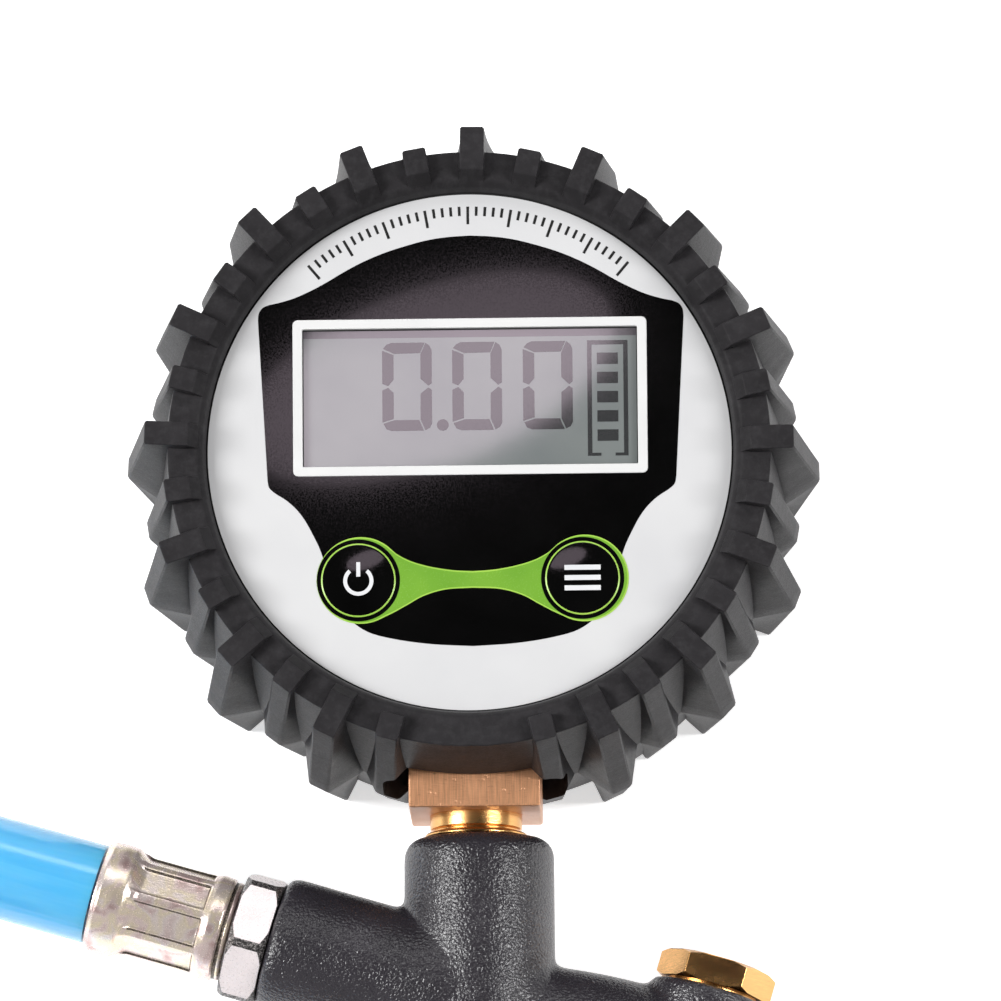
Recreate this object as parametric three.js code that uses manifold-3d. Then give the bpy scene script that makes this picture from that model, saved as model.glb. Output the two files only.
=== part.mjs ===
// Digital tyre pressure gauge with a trigger-operated inflator body, a hose and a clip-on chuck.
//
// Units are millimetres. The tool lies on its back on a bench: the dial faces +Z, twelve o'clock is +Y
// and the hose leaves towards -X. Z = 0 is the bench. The valve body has its own frame, the body frame:
// its X axis is the air line, with the hose at -X and the handle at +X, and its Y axis points to the gauge.
import * as THREE from 'three';
import { mergeVertices } from 'three/addons/utils/BufferGeometryUtils.js';
import { ConvexGeometry } from 'three/addons/geometries/ConvexGeometry.js';
import Module from 'manifold-3d';

const wasm = await Module();
wasm.setup();

// ---------------------------------------------------------------- driving dimensions
const DEG = Math.PI / 180;
const GAP = 0.3;                    // clearance left between pieces that touch

// tread boot
const BOOT_DEPTH = 48;              // back face on the bench to the front of the lugs
const BOOT_MID_Z = BOOT_DEPTH / 2;  // parting plane, where the lugs stand tallest
const BOOT_WALL_R = 35;             // front edge of the side wall
const BOOT_FLOOR_R = 36.8;          // groove floor at the parting plane
const BOOT_TURN = -1 * DEG;         // the soft boot sits slightly turned on the casing
const BOOT_SIDES = 40;              // facets round the boot's shell
const LUG_PITCH = 22 * DEG;
const LUGS_EACH_SIDE = 7;           // large lugs; a small one stands in each space between them
const LUG = { halfWidth: 1.37, innerR: 32.6, frontR: 37.65, tipR: 40.7, tipHalf: 1.2, footHalf: 4.2 };
const SMALL_LUG = { halfWidth: 1.35, innerR: 32.4, frontR: 35.6, tipR: 38.7, tipHalf: 1.1, footHalf: 3.2 };

// gauge casing
const DIAL_Z = 43.8;                // front of the printed face
const DIAL_R = 30.5;
const CASE_R = 33.5;
const CASE_FRONT_Z = 43.4;
const PLATE = 2;                    // front plate and wall thickness
const CASE_SPLIT_Z = 8.3;           // where the front and rear halves meet
const REAR_Z = 3.4;                 // outer face of the rear half
const POST_R = 28.6;                // screw posts, distance from the dial axis
const POST_ANGLES = [45, 135, 225, 315].map((a) => a * DEG);

// display
const SCREEN = { x: 0.1, y: 6.5, w: 41.2, h: 18.5, border: 1.2 };
const BUTTON = { x: 13, y: -15, r: 4.35 };

// batteries (AAA size)
const CELL = { r: 5.2, length: 42.6, nubR: 1.9, nub: 0.8, z: 12.6, y: 3, pitch: 11.2 };
const BAY = { w: 50, h: 24, y: 3, wall: 1.2, top: 19.4 };

// stem, which lies on the parting plane of the boot
const STEM_Z = BOOT_MID_Z;
const STEM = { half: 7.7, top: -27.4, bottom: -39.8, collarR: 5.4, flangeR: 6.0, spigotR: 4.5 };

// valve body
const BODY_Y = -61.7;               // where the air line crosses the stem axis
const BODY_TILT = -16.4 * DEG;
const BOSS = { r: 8.8, top: -42.5, round: 2.2 };
const BARREL_END = -25;
const HANDLE_END = 104;
const VALVE_X = 26;                 // valve bore, square to the air line
const PIVOT = { x: 10, y: -15.5, r: 1.5, eyeR: 3.3 };
const LEVER = { inner: 4.8, wall: 1.8, floor: 1.8 };

// hose
const HOSE_R = 5.9;
const HEX_AF = 14.3;                // hexagon across flats on the hose nipple
const FERRULE = { near: -29.9, far: -46.2 };
// Route of the hose's centre line: straight out of the ferrule, down to the bench, round and back.
const HOSE_ROUTE = [
  [-44.61, -48.57, 24], [-51, -46.7, 24], [-58, -44.65, 23.9], [-68, -41.7, 23.2], [-79, -38.9, 21],
  [-90, -36.9, 17.4], [-101, -35.9, 13.3], [-113, -36.3, 9.6], [-125, -38.6, 7.2], [-137, -43.2, 6.1],
  [-150, -51, 5.9], [-161, -61, 5.9], [-169.5, -73.5, 5.9], [-174.5, -88, 5.9], [-175.5, -103.5, 5.9],
  [-172.5, -118.5, 5.9], [-165, -133, 5.9], [-154, -144.5, 5.9], [-140, -153, 5.9], [-124, -158, 5.9],
  [-107, -160.3, 5.9], [-90, -161, 6.3], [-77, -161, 7.3], [-66, -161, 8.4], [-58, -161, 8.9],
  [-52, -161, 9],
].map((p) => new THREE.Vector3(...p));
const CHUCK = { x: -51.7, y: -161, z: 9, r: 8.4 };

// ---------------------------------------------------------------- materials
function material(color, roughness, metalness = 0, extra = {}) {
  return new THREE.MeshStandardMaterial({ color, roughness, metalness, ...extra });
}

const MATERIALS = {
  rubber: material(0x3a3a3b, 0.75),
  seal: material(0x1c1c1c, 0.6),
  case_plastic: material(0x2a2a2c, 0.55),
  face_print: material(0xe6e6e6, 0.35),
  white_plastic: material(0xf2f2f2, 0.4),
  clear: material(0xdfe6e8, 0.08, 0, { transparent: true, opacity: 0.35 }),
  display: material(0xb9bdb8, 0.25),
  board: material(0x1f6a3a, 0.5),
  button: material(0x0c0c0c, 0.3),
  switch_plastic: material(0x181818, 0.5),
  steel: material(0xb8babd, 0.3, 0.9),
  nickel: material(0xd9d4ce, 0.2, 0.95),
  zinc: material(0xc2b2a6, 0.35, 0.9),
  brass: material(0xc08a45, 0.3, 0.9),
  coating: material(0x3b3a3d, 0.5, 0.1),
  hose: material(0x4aa6e6, 0.25),
  cell_jacket: material(0x2f6db0, 0.35, 0.3),
  flex_film: material(0xc58a2e, 0.4),
};

// ---------------------------------------------------------------- geometry helpers
// A closed, outward-facing mesh made of position only, with shared vertices merged.
function closed(geometry) {
  let source = geometry;
  source.deleteAttribute('normal');
  source.deleteAttribute('uv');
  source = mergeVertices(source, 1e-4);
  const index = source.getIndex().array;
  const position = source.getAttribute('position');
  const kept = [];
  let volume = 0;
  const [a, b, c] = [new THREE.Vector3(), new THREE.Vector3(), new THREE.Vector3()];
  for (let i = 0; i < index.length; i += 3) {
    const [p, q, r] = [index[i], index[i + 1], index[i + 2]];
    if (p === q || q === r || r === p) continue;
    kept.push(p, q, r);
    a.fromBufferAttribute(position, p);
    b.fromBufferAttribute(position, q);
    c.fromBufferAttribute(position, r);
    volume += a.dot(b.cross(c));
  }
  if (volume < 0) kept.reverse();
  source.setIndex(kept);
  return source;
}

function toManifold(geometry) {
  const source = closed(geometry);
  return new wasm.Manifold(new wasm.Mesh({
    numProp: 3,
    vertProperties: Float32Array.from(source.getAttribute('position').array),
    triVerts: Uint32Array.from(source.getIndex().array),
  }));
}

function toGeometry(solid) {
  const mesh = solid.getMesh();
  const geometry = new THREE.BufferGeometry();
  geometry.setAttribute('position', new THREE.BufferAttribute(Float32Array.from(mesh.vertProperties), 3));
  geometry.setIndex(new THREE.BufferAttribute(Uint32Array.from(mesh.triVerts), 1));
  return geometry;
}

// join(base, extra, ...) and cut(base, tool, ...) take geometries and give one back.
function join(base, ...others) {
  return toGeometry(others.reduce((solid, other) => solid.add(toManifold(other)), toManifold(base)));
}

function cut(base, ...tools) {
  return toGeometry(tools.reduce((solid, tool) => solid.subtract(toManifold(tool)), toManifold(base)));
}

// Turned shape round +Z from [radius, z] points; the profile starts and ends on the axis, or is a loop.
function turned(profile, segments = 24) {
  const points = profile.map(([r, z]) => new THREE.Vector2(r, z));
  if (profile[0][0] > 0) points.push(points[0].clone());
  return closed(new THREE.LatheGeometry(points, segments).rotateX(Math.PI / 2));
}

function rod(r, z0, z1, segments = 16) {
  return turned([[0, z0], [r, z0], [r, z1], [0, z1]], segments);
}

function ring(r0, r1, z0, z1, segments = 20) {
  return turned([[r0, z0], [r1, z0], [r1, z1], [r0, z1]], segments);
}

function box(x0, x1, y0, y1, z0, z1) {
  const geometry = new THREE.BoxGeometry(x1 - x0, y1 - y0, z1 - z0);
  return geometry.translate((x0 + x1) / 2, (y0 + y1) / 2, (z0 + z1) / 2);
}

function slab(shape, z0, z1, curveSegments = 4) {
  const geometry = new THREE.ExtrudeGeometry(shape, { depth: z1 - z0, bevelEnabled: false, curveSegments });
  return closed(geometry.translate(0, 0, z0));
}

function roundedRectangle(cx, cy, w, h, r) {
  const [x, y] = [cx - w / 2, cy - h / 2];
  const shape = new THREE.Shape();
  shape.moveTo(x + r, y);
  shape.lineTo(x + w - r, y);
  shape.absarc(x + w - r, y + r, r, -Math.PI / 2, 0);
  shape.lineTo(x + w, y + h - r);
  shape.absarc(x + w - r, y + h - r, r, 0, Math.PI / 2);
  shape.lineTo(x + r, y + h);
  shape.absarc(x + r, y + h - r, r, Math.PI / 2, Math.PI);
  shape.lineTo(x, y + r);
  shape.absarc(x + r, y + r, r, Math.PI, Math.PI * 1.5);
  return shape;
}

function hexPrism(acrossFlats, z0, z1, turn = 0) {
  return rod(acrossFlats / Math.sqrt(3), z0, z1, 6).rotateZ(turn);
}

const alongX = (geometry) => geometry.rotateY(Math.PI / 2);     // +Z of a turned shape becomes +X
const alongMinusX = (geometry) => geometry.rotateY(-Math.PI / 2);
const alongY = (geometry) => geometry.rotateX(-Math.PI / 2);    // +Z becomes +Y
const alongMinusY = (geometry) => geometry.rotateX(Math.PI / 2);

function polar(r, angle) {
  return [r * Math.cos(angle), r * Math.sin(angle)];
}

const part = new THREE.Group();
const head = new THREE.Group();
const body = new THREE.Group();
body.position.set(0, BODY_Y, STEM_Z);
body.rotation.z = BODY_TILT;
const line = new THREE.Group();
part.add(head, body, line);

function add(group, name, geometry, slot) {
  const mesh = new THREE.Mesh(closed(geometry), MATERIALS[slot]);
  mesh.name = name;
  group.add(mesh);
  return mesh;
}

// ---------------------------------------------------------------- gauge head: tread boot
// A lug is a bar, narrow at the front and back rims and broad-footed at the parting plane.
function lug(size, angle) {
  const footInnerR = BOOT_FLOOR_R - 1.6;
  const points = [];
  for (const side of [-1, 1]) {
    for (const z of [0, BOOT_DEPTH]) {
      points.push([side * size.halfWidth, size.innerR, z], [side * size.halfWidth, size.frontR, z]);
    }
    points.push([side * size.tipHalf, size.tipR, BOOT_MID_Z]);
    points.push([side * size.footHalf, BOOT_FLOOR_R, BOOT_MID_Z]);
    points.push([side * size.footHalf, footInnerR, BOOT_MID_Z]);
  }
  const hull = new ConvexGeometry(points.map((p) => new THREE.Vector3(...p)));
  return hull.rotateZ(angle);
}

function treadBoot() {
  const shell = turned([
    [0, 0], [BOOT_WALL_R - 1.4, 0], [BOOT_WALL_R, 1.4], [BOOT_FLOOR_R, BOOT_MID_Z],
    [BOOT_WALL_R, BOOT_DEPTH - 1.6], [32.2, BOOT_DEPTH - 1.7], [31.6, DIAL_Z + 0.9], [0, DIAL_Z + 0.9],
  ], BOOT_SIDES);
  const lugs = [lug(LUG, 0)];
  for (const side of [-1, 1]) {
    for (let i = 1; i <= LUGS_EACH_SIDE; i += 1) lugs.push(lug(LUG, side * i * LUG_PITCH));
    for (let i = 0; i <= LUGS_EACH_SIDE; i += 1) lugs.push(lug(SMALL_LUG, side * (i + 0.5) * LUG_PITCH));
  }
  const cavity = turned([
    [0, -1], [30, -1], [30, REAR_Z - GAP], [CASE_R + GAP, REAR_Z - GAP], [CASE_R + GAP, CASE_FRONT_Z + GAP],
    [DIAL_R + 0.2, CASE_FRONT_Z + GAP], [DIAL_R + 0.5, DIAL_Z + 0.9], [31.9, BOOT_DEPTH - 1.5],
    [31.9, BOOT_DEPTH + 1], [0, BOOT_DEPTH + 1],
  ], BOOT_SIDES);
  // Hole in the lower wall for the stem, with rounded ends.
  const hole = slab(roundedRectangle(0, STEM_Z, 21.6, 16.4, 4), 28, 44).rotateX(Math.PI / 2);
  return cut(join(shell, ...lugs).rotateZ(BOOT_TURN), cavity, hole);
}

add(head, 'tread_boot', treadBoot(), 'rubber');

// ---------------------------------------------------------------- gauge head: casing
function screwPost(angle, z0, z1) {
  const [x, y] = polar(POST_R, angle);
  return rod(3.1, z0, z1, 12).translate(x, y, 0);
}

function frontCase() {
  const cup = turned([
    [0, CASE_FRONT_Z - PLATE], [CASE_R - PLATE, CASE_FRONT_Z - PLATE], [CASE_R - PLATE, CASE_SPLIT_Z],
    [CASE_R, CASE_SPLIT_Z], [CASE_R, CASE_FRONT_Z], [0, CASE_FRONT_Z],
  ], 40);
  const posts = POST_ANGLES.map((angle) => screwPost(angle, CASE_SPLIT_Z + 0.4, CASE_FRONT_Z - 1));
  const screwHoles = POST_ANGLES.map((angle) => {
    const [x, y] = polar(POST_R, angle);
    return rod(1.5, CASE_SPLIT_Z - 1, 22, 8).translate(x, y, 0);
  });
  const windowHole = slab(
    roundedRectangle(SCREEN.x, SCREEN.y, SCREEN.w + 0.6, SCREEN.h + 0.6, 1.2),
    CASE_FRONT_Z - PLATE - 1,
    CASE_FRONT_Z + 1,
  );
  const buttonHoles = [-1, 1].map((side) => {
    const hole = rod(BUTTON.r + 0.25, CASE_FRONT_Z - PLATE - 1, CASE_FRONT_Z + 1, 20);
    return hole.translate(side * BUTTON.x, BUTTON.y, 0);
  });
  const stemSlot = box(-STEM.half - GAP, STEM.half + GAP, -40, -25, 0, STEM_Z + STEM.half + GAP);
  return cut(join(cup, ...posts), windowHole, stemSlot, ...buttonHoles, ...screwHoles);
}

// Outline of the battery door: the bay's rectangle with a tab for its screw.
function doorOutline(grow) {
  const [x0, x1] = [-BAY.w / 2 - grow, BAY.w / 2 + grow];
  const [y0, y1] = [BAY.y - BAY.h / 2 - grow, BAY.y + BAY.h / 2 + grow];
  const tab = 4 + grow;
  return new THREE.Shape([
    [x0, y0], [-tab, y0], [-tab, y0 - 6], [tab, y0 - 6], [tab, y0], [x1, y0], [x1, y1], [x0, y1],
  ].map(([x, y]) => new THREE.Vector2(x, y)));
}

const DOOR_SCREW_Y = BAY.y - BAY.h / 2 - 3;

function rearCase() {
  const plate = turned([
    [0, REAR_Z], [CASE_R - 0.8, REAR_Z], [CASE_R, REAR_Z + 0.8], [CASE_R, CASE_SPLIT_Z - 0.2],
    [CASE_R - PLATE, CASE_SPLIT_Z - 0.2], [CASE_R - PLATE, REAR_Z + PLATE], [0, REAR_Z + PLATE],
  ], 40);
  const pads = POST_ANGLES.map((angle) => screwPost(angle, REAR_Z + 1, CASE_SPLIT_Z));
  const screwHoles = POST_ANGLES.map((angle) => {
    const [x, y] = polar(POST_R, angle);
    const seat = REAR_Z + 2.2;
    return turned([[0, 0], [2.5, 0], [2.5, seat], [1.5, seat], [1.5, 12], [0, 12]], 8).translate(x, y, 0);
  });
  const tongueTop = STEM_Z - STEM.half - GAP;
  const tongue = box(-STEM.half, STEM.half, -CASE_R + 1, -CASE_R + PLATE + 0.2, REAR_Z + 1, tongueTop);
  const screwBlock = box(-4.6, 4.6, DOOR_SCREW_Y - 5.4, DOOR_SCREW_Y + 2.4, REAR_Z + PLATE + 0.2, 13);
  const blockFoot = box(-4.6, 4.6, DOOR_SCREW_Y - 5.4, DOOR_SCREW_Y - 3.6, REAR_Z + 1, REAR_Z + 3);
  const doorHole = slab(doorOutline(GAP), REAR_Z - 1, REAR_Z + PLATE + 0.2);
  const pilot = rod(1.5, REAR_Z, 11, 8).translate(0, DOOR_SCREW_Y, 0);
  return cut(join(cut(plate, doorHole), ...pads, tongue, screwBlock, blockFoot), pilot, ...screwHoles);
}

function batteryTray() {
  const [x0, x1] = [-BAY.w / 2 - BAY.wall, BAY.w / 2 + BAY.wall];
  const [y0, y1] = [BAY.y - BAY.h / 2 - BAY.wall, BAY.y + BAY.h / 2 + BAY.wall];
  const bottom = REAR_Z + PLATE + 0.3;
  const outer = box(x0, x1, y0, y1, bottom, BAY.top);
  const inner = box(
    x0 + BAY.wall, x1 - BAY.wall, y0 + BAY.wall, y1 - BAY.wall, bottom - 1, BAY.top - BAY.wall,
  );
  const notch = box(-5, 5, y0 - 1, y0 + 0.9, bottom - 1, 13.4);
  return cut(outer, inner, notch);
}

function batteryDoor() {
  const plate = slab(doorOutline(0), REAR_Z, REAR_Z + PLATE - 0.3);
  const grips = [-2, 0, 2].map((k) => box(-8, 8, 9.6 + k, 10.4 + k, REAR_Z - 1, REAR_Z + 0.4));
  const seat = REAR_Z + 1.15;
  const screwHole = turned([[0, 0], [2.3, 0], [2.3, seat], [1.4, seat], [1.4, 9], [0, 9]], 8);
  return cut(plate, ...grips, screwHole.translate(0, DOOR_SCREW_Y, 0));
}

// Pan-head screw pointing along +Z, its head's underside at z = 0, with a cross recess.
function screw(headR, headHeight, shankR, length) {
  const blank = turned([
    [0, -headHeight], [headR * 0.6, -headHeight], [headR, -headHeight * 0.4], [headR, 0],
    [shankR, 0], [shankR, length - shankR], [0, length],
  ], 8);
  const arm = headR * 0.6;
  const recess = -headHeight * 0.45;
  return cut(
    blank,
    box(-arm, arm, -0.25, 0.25, -headHeight - 1, recess),
    box(-0.25, 0.25, -arm, arm, -headHeight - 1, recess),
  );
}

add(head, 'front_case', frontCase(), 'case_plastic');
add(head, 'rear_case', rearCase(), 'case_plastic');
add(head, 'battery_tray', batteryTray(), 'case_plastic');
add(head, 'battery_door', batteryDoor(), 'case_plastic');
add(head, 'battery_door_screw', screw(2, 1.1, 1.1, 6).translate(0, DOOR_SCREW_Y, REAR_Z + 1.1), 'steel');
POST_ANGLES.forEach((angle, i) => {
  const [x, y] = polar(POST_R, angle);
  add(head, `case_screw_${i + 1}`, screw(2.2, 1.4, 1.2, 14).translate(x, y, REAR_Z + 1.9), 'steel');
});

// ---------------------------------------------------------------- gauge head: face and display
function faceLabel() {
  const disc = rod(DIAL_R - 0.1, CASE_FRONT_Z + 0.05, DIAL_Z, 48);
  const windowHole = slab(
    roundedRectangle(SCREEN.x, SCREEN.y, SCREEN.w + 0.3, SCREEN.h + 0.3, 1.2),
    CASE_FRONT_Z - 1,
    DIAL_Z + 1,
  );
  const buttonHoles = [-1, 1].map((side) => (
    rod(BUTTON.r + 0.2, CASE_FRONT_Z - 1, DIAL_Z + 1, 20).translate(side * BUTTON.x, BUTTON.y, 0)
  ));
  return cut(disc, windowHole, ...buttonHoles);
}

function displayFrame() {
  const rim = roundedRectangle(SCREEN.x, SCREEN.y, SCREEN.w, SCREEN.h, 1);
  const outer = slab(rim, DIAL_Z - 2.2, DIAL_Z + 0.15);
  const [w, h] = [SCREEN.w - 2 * SCREEN.border, SCREEN.h - 2 * SCREEN.border];
  return cut(outer, slab(roundedRectangle(SCREEN.x, SCREEN.y, w, h, 0.3), DIAL_Z - 3, DIAL_Z + 1));
}

function screenBox(w, h, z0, z1, y = SCREEN.y) {
  return box(SCREEN.x - w / 2, SCREEN.x + w / 2, y - h / 2, y + h / 2, z0, z1);
}

function pushButton() {
  return turned([
    [0, 39.3], [1.6, 39.3], [1.6, 40.2], [BUTTON.r + 0.8, 40.2], [BUTTON.r + 0.8, 41.1], [BUTTON.r, 41.1],
    [BUTTON.r, DIAL_Z], [BUTTON.r - 0.3, DIAL_Z + 0.25], [0, DIAL_Z + 0.45],
  ], 20);
}

function tactSwitch() {
  return join(box(-3, 3, -3, 3, 35.3, 38.2), rod(1.7, 38, 38.75, 10));
}

add(head, 'face_label', faceLabel(), 'face_print');
add(head, 'display_frame', displayFrame(), 'white_plastic');
add(head, 'display_window', screenBox(38.5, 15.8, DIAL_Z - 1.5, DIAL_Z - 0.7), 'clear');
add(head, 'lcd_module', screenBox(43, 21, 38.5, 41.2), 'display');
add(head, 'backlight_panel', screenBox(41, 17.4, 35.6, 38.2, SCREEN.y - 1.4), 'white_plastic');
add(head, 'zebra_connector', screenBox(38, 1.8, 35.3, 38.2, SCREEN.y + 9.2), 'seal');
add(head, 'circuit_board', rod(25, 33.6, 35.2, 32), 'board');
for (const [side, name] of [[-1, 'power'], [1, 'function']]) {
  add(head, `${name}_button`, pushButton().translate(side * BUTTON.x, BUTTON.y, 0), 'button');
  add(head, `${name}_switch`, tactSwitch().translate(side * BUTTON.x, BUTTON.y, 0), 'switch_plastic');
}

// ---------------------------------------------------------------- gauge head: power supply and sensor
function batteryCell() {
  const half = CELL.length / 2;
  const tip = half + CELL.nub;
  return alongX(turned([
    [0, -half], [CELL.r, -half], [CELL.r, half], [CELL.nubR, half], [CELL.nubR, tip], [0, tip],
  ], 14));
}

const [LOWER_CELL_Y, UPPER_CELL_Y] = [CELL.y - CELL.pitch / 2, CELL.y + CELL.pitch / 2];
add(head, 'battery_lower', batteryCell().translate(0.4, LOWER_CELL_Y, CELL.z), 'cell_jacket');
const upperCell = batteryCell().rotateZ(Math.PI).translate(-0.4, UPPER_CELL_Y, CELL.z);
add(head, 'battery_upper', upperCell, 'cell_jacket');
const CONTACT = { half: 3.6, bottom: 8.5, top: 17.5 };
function contactPlate(x0, y0, y1) {
  return box(x0, x0 + 0.4, y0 - CONTACT.half, y1 + CONTACT.half, CONTACT.bottom, CONTACT.top);
}
add(head, 'battery_link_plate', contactPlate(23.6, LOWER_CELL_Y, UPPER_CELL_Y), 'nickel');
add(head, 'battery_plus_plate', contactPlate(-24, UPPER_CELL_Y, UPPER_CELL_Y), 'nickel');
const minusSpring = turned([[0, 0], [3.6, 0], [3.6, 0.7], [1.6, 2.3], [0, 2.3]], 12);
add(head, 'battery_minus_spring', alongX(minusSpring).translate(-24, LOWER_CELL_Y, CELL.z), 'nickel');

const sensor = turned([[0, 0], [3, 0], [3, 1.2], [6, 1.2], [6, 4.6], [3.4, 4.6], [3.4, 5.4], [0, 5.4]], 16);
add(head, 'pressure_sensor', alongY(sensor).translate(0, STEM.top + GAP, STEM_Z), 'steel');
// A bent strip 6 mm wide: up from the sensor and along the back of the board, as its side view [z, y].
const ribbonOutline = new THREE.Shape([
  [23.85, -21.3], [23.85, -19.5], [25.2, -18.25], [33.2, -18.25], [33.2, -18.55], [25.35, -18.55],
  [24.15, -19.65], [24.15, -21.3],
].map((p) => new THREE.Vector2(...p)));
const ribbon = slab(ribbonOutline, -3, 3).rotateY(-Math.PI / 2);
add(head, 'sensor_ribbon', ribbon, 'flex_film');

// ---------------------------------------------------------------- stem
function stemBlock() {
  const block = box(-STEM.half, STEM.half, STEM.bottom, STEM.top, -STEM.half, STEM.half);
  const neck = turned([
    [0, 0], [STEM.collarR, 0], [STEM.collarR, 2.1], [STEM.collarR + 0.2, 2.3], [STEM.flangeR, 2.4],
    [STEM.flangeR, 2.7], [STEM.spigotR, 2.7], [STEM.spigotR, 10], [STEM.spigotR - 0.5, 10.5], [0, 10.5],
  ], 24);
  const spigot = alongMinusY(neck).translate(0, STEM.bottom + 0.3, 0);
  const airway = alongMinusY(rod(1.6, -1, 30, 8)).translate(0, STEM.top, 0);
  const sensorSeat = alongMinusY(rod(3.4, -1, 2, 12)).translate(0, STEM.top, 0);
  return cut(join(block, spigot), airway, sensorSeat).translate(0, 0, STEM_Z);
}

add(head, 'stem_block', stemBlock(), 'brass');
const stemSeal = alongMinusY(ring(STEM.spigotR + 0.25, 5.6, 0, 1.2, 16));
add(head, 'stem_o_ring', stemSeal.translate(0, BOSS.top - 0.5, STEM_Z), 'seal');

// ---------------------------------------------------------------- valve body (body frame)
// Handle sections: [x, centre y, half height, half thickness].
const HANDLE_SECTIONS = [
  [-2, -0.6, 7.6, 7.6], [6, -1.6, 7.2, 7], [14, -3, 9.3, 8], [24, -3, 10.4, 9.4], [40, -2.2, 10.4, 9.9],
  [58, -1.4, 10.1, 10], [76, -0.7, 9.8, 9.8], [92, -0.1, 9.4, 9.4], [100, 0, 9.1, 9.1], [103, 0, 8.6, 8.6],
  [HANDLE_END, 0, 7.6, 7.6],
];

function loftedHandle(sides = 20) {
  const positions = [];
  for (const [x, centre, halfHeight, halfThickness] of HANDLE_SECTIONS) {
    for (let i = 0; i < sides; i += 1) {
      const angle = (i / sides) * 2 * Math.PI;
      positions.push(x, centre + halfHeight * Math.cos(angle), halfThickness * Math.sin(angle));
    }
  }
  const index = [];
  const last = HANDLE_SECTIONS.length - 1;
  for (let s = 0; s < last; s += 1) {
    for (let i = 0; i < sides; i += 1) {
      const [a, b] = [s * sides + i, s * sides + ((i + 1) % sides)];
      index.push(a, b, a + sides, b, b + sides, a + sides);
    }
  }
  for (let i = 1; i < sides - 1; i += 1) {
    index.push(0, i + 1, i, last * sides, last * sides + i, last * sides + i + 1);
  }
  const geometry = new THREE.BufferGeometry();
  geometry.setAttribute('position', new THREE.BufferAttribute(new Float32Array(positions), 3));
  geometry.setIndex(index);
  return closed(geometry);
}

const BOSS_LENGTH = BOSS.top - BODY_Y;

function bossAxis(geometry) {
  return alongY(geometry).rotateZ(-BODY_TILT);
}

function valveBody() {
  const barrel = alongX(turned([
    [0, BARREL_END], [6.9, BARREL_END], [7.4, BARREL_END + 0.5], [8.1, -19], [8.7, -12], [8.8, -5],
    [8.3, 2], [6.9, 7], [4, 10], [0, 11],
  ], 24));
  const arc = [0, 30, 60, 90].map((a) => [
    BOSS.r - BOSS.round + BOSS.round * Math.cos(a * DEG),
    BOSS_LENGTH - BOSS.round + BOSS.round * Math.sin(a * DEG),
  ]);
  const boss = bossAxis(turned([[0, -2], [BOSS.r, -2], ...arc, [0, BOSS_LENGTH]], 24));
  const pivotTongue = slab(
    roundedRectangle(PIVOT.x, PIVOT.y + 3.7, 2 * PIVOT.eyeR, 14, PIVOT.eyeR),
    -LEVER.inner + GAP,
    LEVER.inner - GAP,
  );
  const guide = alongMinusY(rod(4, 4, 14.2, 14)).translate(VALVE_X, 0, 0);
  const capPad = alongY(rod(7.2, 2, 8.4, 18)).translate(VALVE_X, 0, 0);
  const solid = join(barrel, boss, loftedHandle(), pivotTongue, guide, capPad);
  const hosePort = alongX(turned([
    [0, BARREL_END - 1], [5.6, BARREL_END - 1], [5.6, -13], [2.6, -13], [2.6, 17], [0, 17],
  ], 14));
  const stemPort = bossAxis(turned([
    [0, 0], [2.4, 0], [2.4, 9.5], [4.8, 9.5], [4.8, BOSS_LENGTH - 2], [5.9, BOSS_LENGTH - 2],
    [5.9, BOSS_LENGTH + 1], [0, BOSS_LENGTH + 1],
  ], 14));
  const valveBore = alongY(turned([
    [0, -16], [2.3, -16], [2.3, -9.6], [5.2, -9.6], [5.2, 2.4], [5.8, 2.4], [5.8, 10], [0, 10],
  ], 14)).translate(VALVE_X, 0, 0);
  const inletPort = alongX(turned([
    [0, VALVE_X], [2.8, VALVE_X], [2.8, 86], [4, 86], [4, 91.5], [5.8, 91.5],
    [5.8, HANDLE_END + 1], [0, HANDLE_END + 1],
  ], 14)).translate(0, -1, 0);
  const crossDrill = alongX(rod(1.8, -14.5, 0, 8)).rotateZ(-44 * DEG).translate(24, -9.8, 0);
  const pinHole = rod(PIVOT.r + 0.3, -12, 12, 12).translate(PIVOT.x, PIVOT.y, 0);
  return cut(solid, hosePort, stemPort, valveBore, inletPort, crossDrill, pinHole);
}

add(body, 'valve_body', valveBody(), 'coating');

// ---------------------------------------------------------------- valve inside the body
const atValve = (geometry) => alongY(geometry).translate(VALVE_X, 0, 0);
const capHex = cut(
  join(hexPrism(12, 8.8, 12), rod(5.4, 3.1, 9, 16)),
  rod(2.6, 2, 6.5, 12),
);
add(body, 'valve_cap', atValve(capHex), 'brass');
add(body, 'valve_seat_ring', atValve(ring(3, 4.9, -9.3, -7.8, 14)), 'seal');
add(body, 'valve_plunger', atValve(turned([
  [0, -20.2], [1.4, -20.2], [2, -19.6], [2, -10.4], [1.5, -10.2], [1.5, -9.3], [2, -9.1], [2, -7.4],
  [4, -7.4], [4, -5.6], [1.4, -5.2], [1.4, -2.6], [0, -2.6],
], 14)), 'brass');

function coilSpring(coilR, wireR, z0, z1, turns) {
  const stepsPerTurn = 9;
  const wireSides = 5;
  const points = Array.from({ length: turns * stepsPerTurn + 1 }, (_, i) => {
    const [x, y] = polar(coilR, (i / stepsPerTurn) * 2 * Math.PI);
    return new THREE.Vector3(x, y, z0 + ((z1 - z0) * i) / (turns * stepsPerTurn));
  });
  const section = new THREE.Shape(Array.from({ length: wireSides }, (_, i) => (
    new THREE.Vector2(...polar(wireR, (i * 2 * Math.PI) / wireSides))
  )));
  const extrudePath = new THREE.CatmullRomCurve3(points);
  return new THREE.ExtrudeGeometry(section, { extrudePath, steps: turns * stepsPerTurn });
}

add(body, 'valve_spring', atValve(coilSpring(2.05, 0.3, -2.6, 5.9, 4)), 'steel');

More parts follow.
